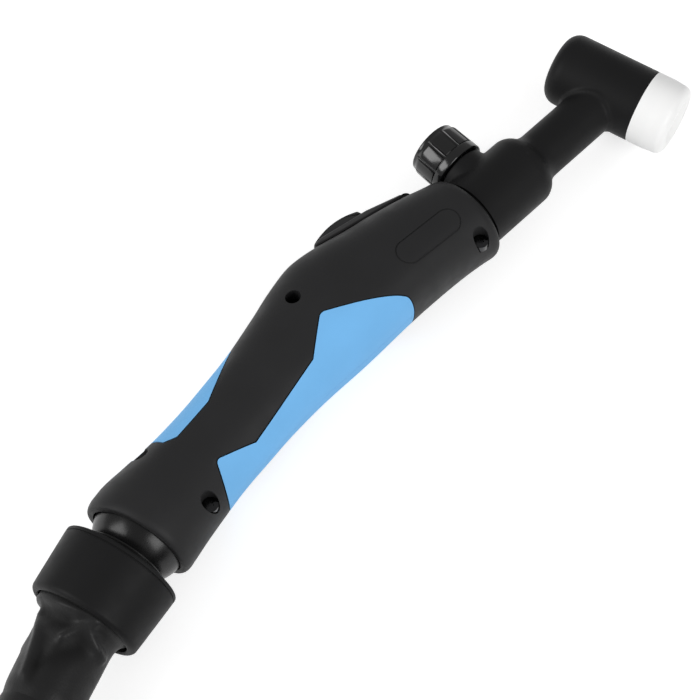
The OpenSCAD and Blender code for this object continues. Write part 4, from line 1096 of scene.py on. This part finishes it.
def dress_knob():
    z = KNOB_SEAT
    profile = [(0, z + 0.02), (9.2, z + 0.02), *arc(9.4, z + 0.5, 0.5, -90, 0, 4),
               *arc(9.6, z + 2.75, 0.3, 0, 80, 4), (9.4, z + 3.1), (9.4, z + 3.3),
               *arc(9.6, z + 3.5, 0.2, -80, 0, 3), (9.72, z + 9.9), (9.66, z + 10.4),
               (9.45, z + 10.9), (9.2, z + 11.35), (9.07, z + 11.8),
               *arc(8.5, z + 12.35, 0.55, 0, 90, 6), (6.9, z + 12.9),
               *arc(6.75, z + 12.5, 0.4, 80, 0, 3), (6.3, z + 12.3), (0, z + 12.3)]
    knob = turned("knob", profile, UPRIGHT, 200)
    grown(knob, ring_tree("finger_slots", "DIFFERENCE"), "knob_black", count=10,
          reach=9.85, depth=0.75, start=z + 3.3, length=8.2, turn=radians(29.8))
    eased(knob, 0.12, 40, 2)
    cut(knob, drum("well", 2.7, z + 10.3, z + 14))
    cut(knob, turned("bore", [(0, z - 1), (2.1, z - 1), (2.1, z + 8), (1.3, z + 8), (1.3, z + 14),
                              (0, z + 14)], UPRIGHT, 48))
    knob.data.transform(VALVE)
    settle(knob, "valve", "knob_black", "valve_knob", sharp=30)


dress_knob()


# ---- Screws in the left shell ----------------------------------------------------------------
def dress_screws():
    obj = spots("cap_screws", [(x, y, floor + 0.01) for x, y, _, floor in SCREWS])
    grown(obj, screw_tree(), "screw_black", head_radius=2.4, head_height=3.0, dome_radius=9.0,
          shank_radius=1.4, shank_length=8.0)
    settle(obj, "handle", "steel", "shell_screws", sharp=30)
    dress(obj, "screw_black")


dress_screws()


# ---- Trigger: a domed pad on its plate -------------------------------------------------------
PAD_TOP, PAD_PEAK, PAD_SWEEP_R, PAD_CROWN_R, PAD_HALF_W = 7.15, -22.0, 23.8, 11.0, 4.2
PLATE_UP, PLATE_T, PLATE_REAR, PLATE_FRONT, PLATE_HALF_W = 2.3, 1.7, 33.6, 0.2, 4.8


def dress_trigger():
    base = PLATE_UP + PLATE_T
    middle = PAD_TOP - PAD_SWEEP_R
    outline = [(-PLATE_REAR + 0.6, base), (-PLATE_REAR + 0.6, PAD_TOP + 1), (-18.6, PAD_TOP + 1),
               *arc(-18.6, 2.8, 4, 66, 12, 10), (-14.6, base)]
    pad = prism("trigger_pad", outline, -PAD_HALF_W, PAD_HALF_W)
    hub = PAD_SWEEP_R - PAD_CROWN_R
    crown = [(12, -5.5), *[(hub + PAD_CROWN_R * cos(radians(a)), PAD_CROWN_R * sin(radians(a)))
                           for a in range(-30, 31, 3)], (12, 5.5)]
    cut(pad, turned_ring("crown", crown, Matrix.Translation((PAD_PEAK, middle, 0)), 288),
        "INTERSECT")
    pad.data.transform(TRIGGER)
    settle(eased(pad, 0.4, 40, 3), "trigger", "trigger_black", "trigger_pad", sharp=50)
    side = [(-PLATE_REAR, PLATE_UP), (-PLATE_FRONT, PLATE_UP - 0.75),
            (-PLATE_FRONT, PLATE_UP + 0.15), (-13, base), (-PLATE_REAR + 3, base),
            (-PLATE_REAR, PLATE_UP + 0.9)]
    plate = prism("trigger_plate", side, -PLATE_HALF_W, PLATE_HALF_W)
    eased(plate, 0.42, 60, 1)
    cut(plate, rod("eye", 0, 0, 1.6, -2.6, 2.6), "UNION")
    web = prism("web", [(-2.8, 0.4), (0.2, 0.4), (0.2, 2.3), (-2.8, 2.3)], -2.6, 2.6)
    cut(plate, web, "UNION")
    cut(plate, rod("pin_hole", 0, 0, 1.05, -10, 10))
    plate.data.transform(TRIGGER)
    rib = prism("rib", [(-101.4, 20.35), (-98.6, 20.35), (-98.6, 23.35), (-101.4, 23.35)], -2, 2)
    cut(plate, rib, "UNION")
    settle(eased(plate, 0.18), "trigger", "trigger_black", "trigger_plate")
    # The plate gets the lighter copy of the trigger's black: painted light on its side in the slot's
    # shade.
    dress(plate, "plate_black_painted_light")


dress_trigger()


# ---- Collar: a shallow cone in front, a fine turned line and a rounded rear lip ---------------
def dress_collar():
    profile = [(13.45, 9.1), (18.8, 11.12), *arc(18.78, 11.6, 0.5, -65, 3, 5), (19.27, 12.3),
               (18.98, 12.45), (18.98, 12.75), (19.26, 12.9), (18.35, 28.4),
               *arc(16.2, 30.3, 2, 3, 90, 12), (15.95, 32.25), (15.6, 31.9), (15.6, 21),
               (14.45, 21), (14.45, 12.2), (13.45, 12.2)]
    settle(turned_ring("collar", profile, REAR, 192), "cable_side", "collar_black", "collar_nut",
           sharp=24)


dress_collar()


for part in frame["record"]["subparts"]:
    dress(solids[part["node"]], part["material_slot"])
dress(solids["knuckle_ball"], "knuckle_black")


# ---- Floor, light and background -------------------------------------------------------------
def lay_floor():
    """Pale paper that keeps the shadow; seen straight, mirrored or through something clear it
    is lifted to white."""
    floor = solid("floor", [(-4, -4, 0), (4, -4, 0), (4, 4, 0), (-4, 4, 0)], [(0, 1, 2, 3)])
    mat = bpy.data.materials.new("floor_paper")
    mat.use_nodes = True
    tree = mat.node_tree
    paper = tree.nodes["Principled BSDF"]
    paper.inputs["Base Color"].default_value = (0.86, 0.86, 0.86, 1)
    paper.inputs["Roughness"].default_value = 0.9
    path = tree.nodes.new("ShaderNodeLightPath").outputs
    seen = node_pair(tree, "MAXIMUM", path["Is Camera Ray"], path["Is Glossy Ray"])
    seen = node_pair(tree, "MAXIMUM", seen, path["Is Transmission Ray"])
    lift = tree.nodes.new("ShaderNodeEmission")
    tree.links.new(node_pair(tree, "MULTIPLY", seen, 0.5), lift.inputs["Strength"])
    both_lights = tree.nodes.new("ShaderNodeAddShader")
    tree.links.new(paper.outputs[0], both_lights.inputs[0])
    tree.links.new(lift.outputs[0], both_lights.inputs[1])
    tree.links.new(both_lights.outputs[0], tree.nodes["Material Output"].inputs["Surface"])
    floor.data.materials.append(mat)


BOX_FAR, BOX_W, BOX_H = 1.1, 0.5, 0.66


def hang_light(name, way, glow):
    """A soft box that hangs in the direction way; glow is its brightness."""
    lamp = bpy.data.lights.new(name, "AREA")
    lamp.shape, lamp.size, lamp.size_y = "RECTANGLE", BOX_W, BOX_H
    lamp.energy = glow * pi * BOX_W * BOX_H
    obj = linked(name, lamp)
    aim = Vector((0, 0, 0.02))
    obj.location = aim + Vector(way).normalized() * BOX_FAR
    obj.rotation_euler = (aim - obj.location).to_track_quat("-Z", "Y").to_euler()


def light_room():
    world = bpy.data.worlds.new("studio")
    bpy.context.scene.world = world
    world.use_nodes = True
    sky = world.node_tree.nodes["Background"]
    sky.inputs["Color"].default_value = (1, 1, 1, 1)
    sky.inputs["Strength"].default_value = 0.46
    hang_light("box_back_side", (-0.68, 0.42, 0.55), 5.6)
    hang_light("box_belly_side", (-0.02, -0.8, 0.58), 5.8)


lay_floor()
light_room()
bpy.context.scene.view_settings.view_transform = "Standard"
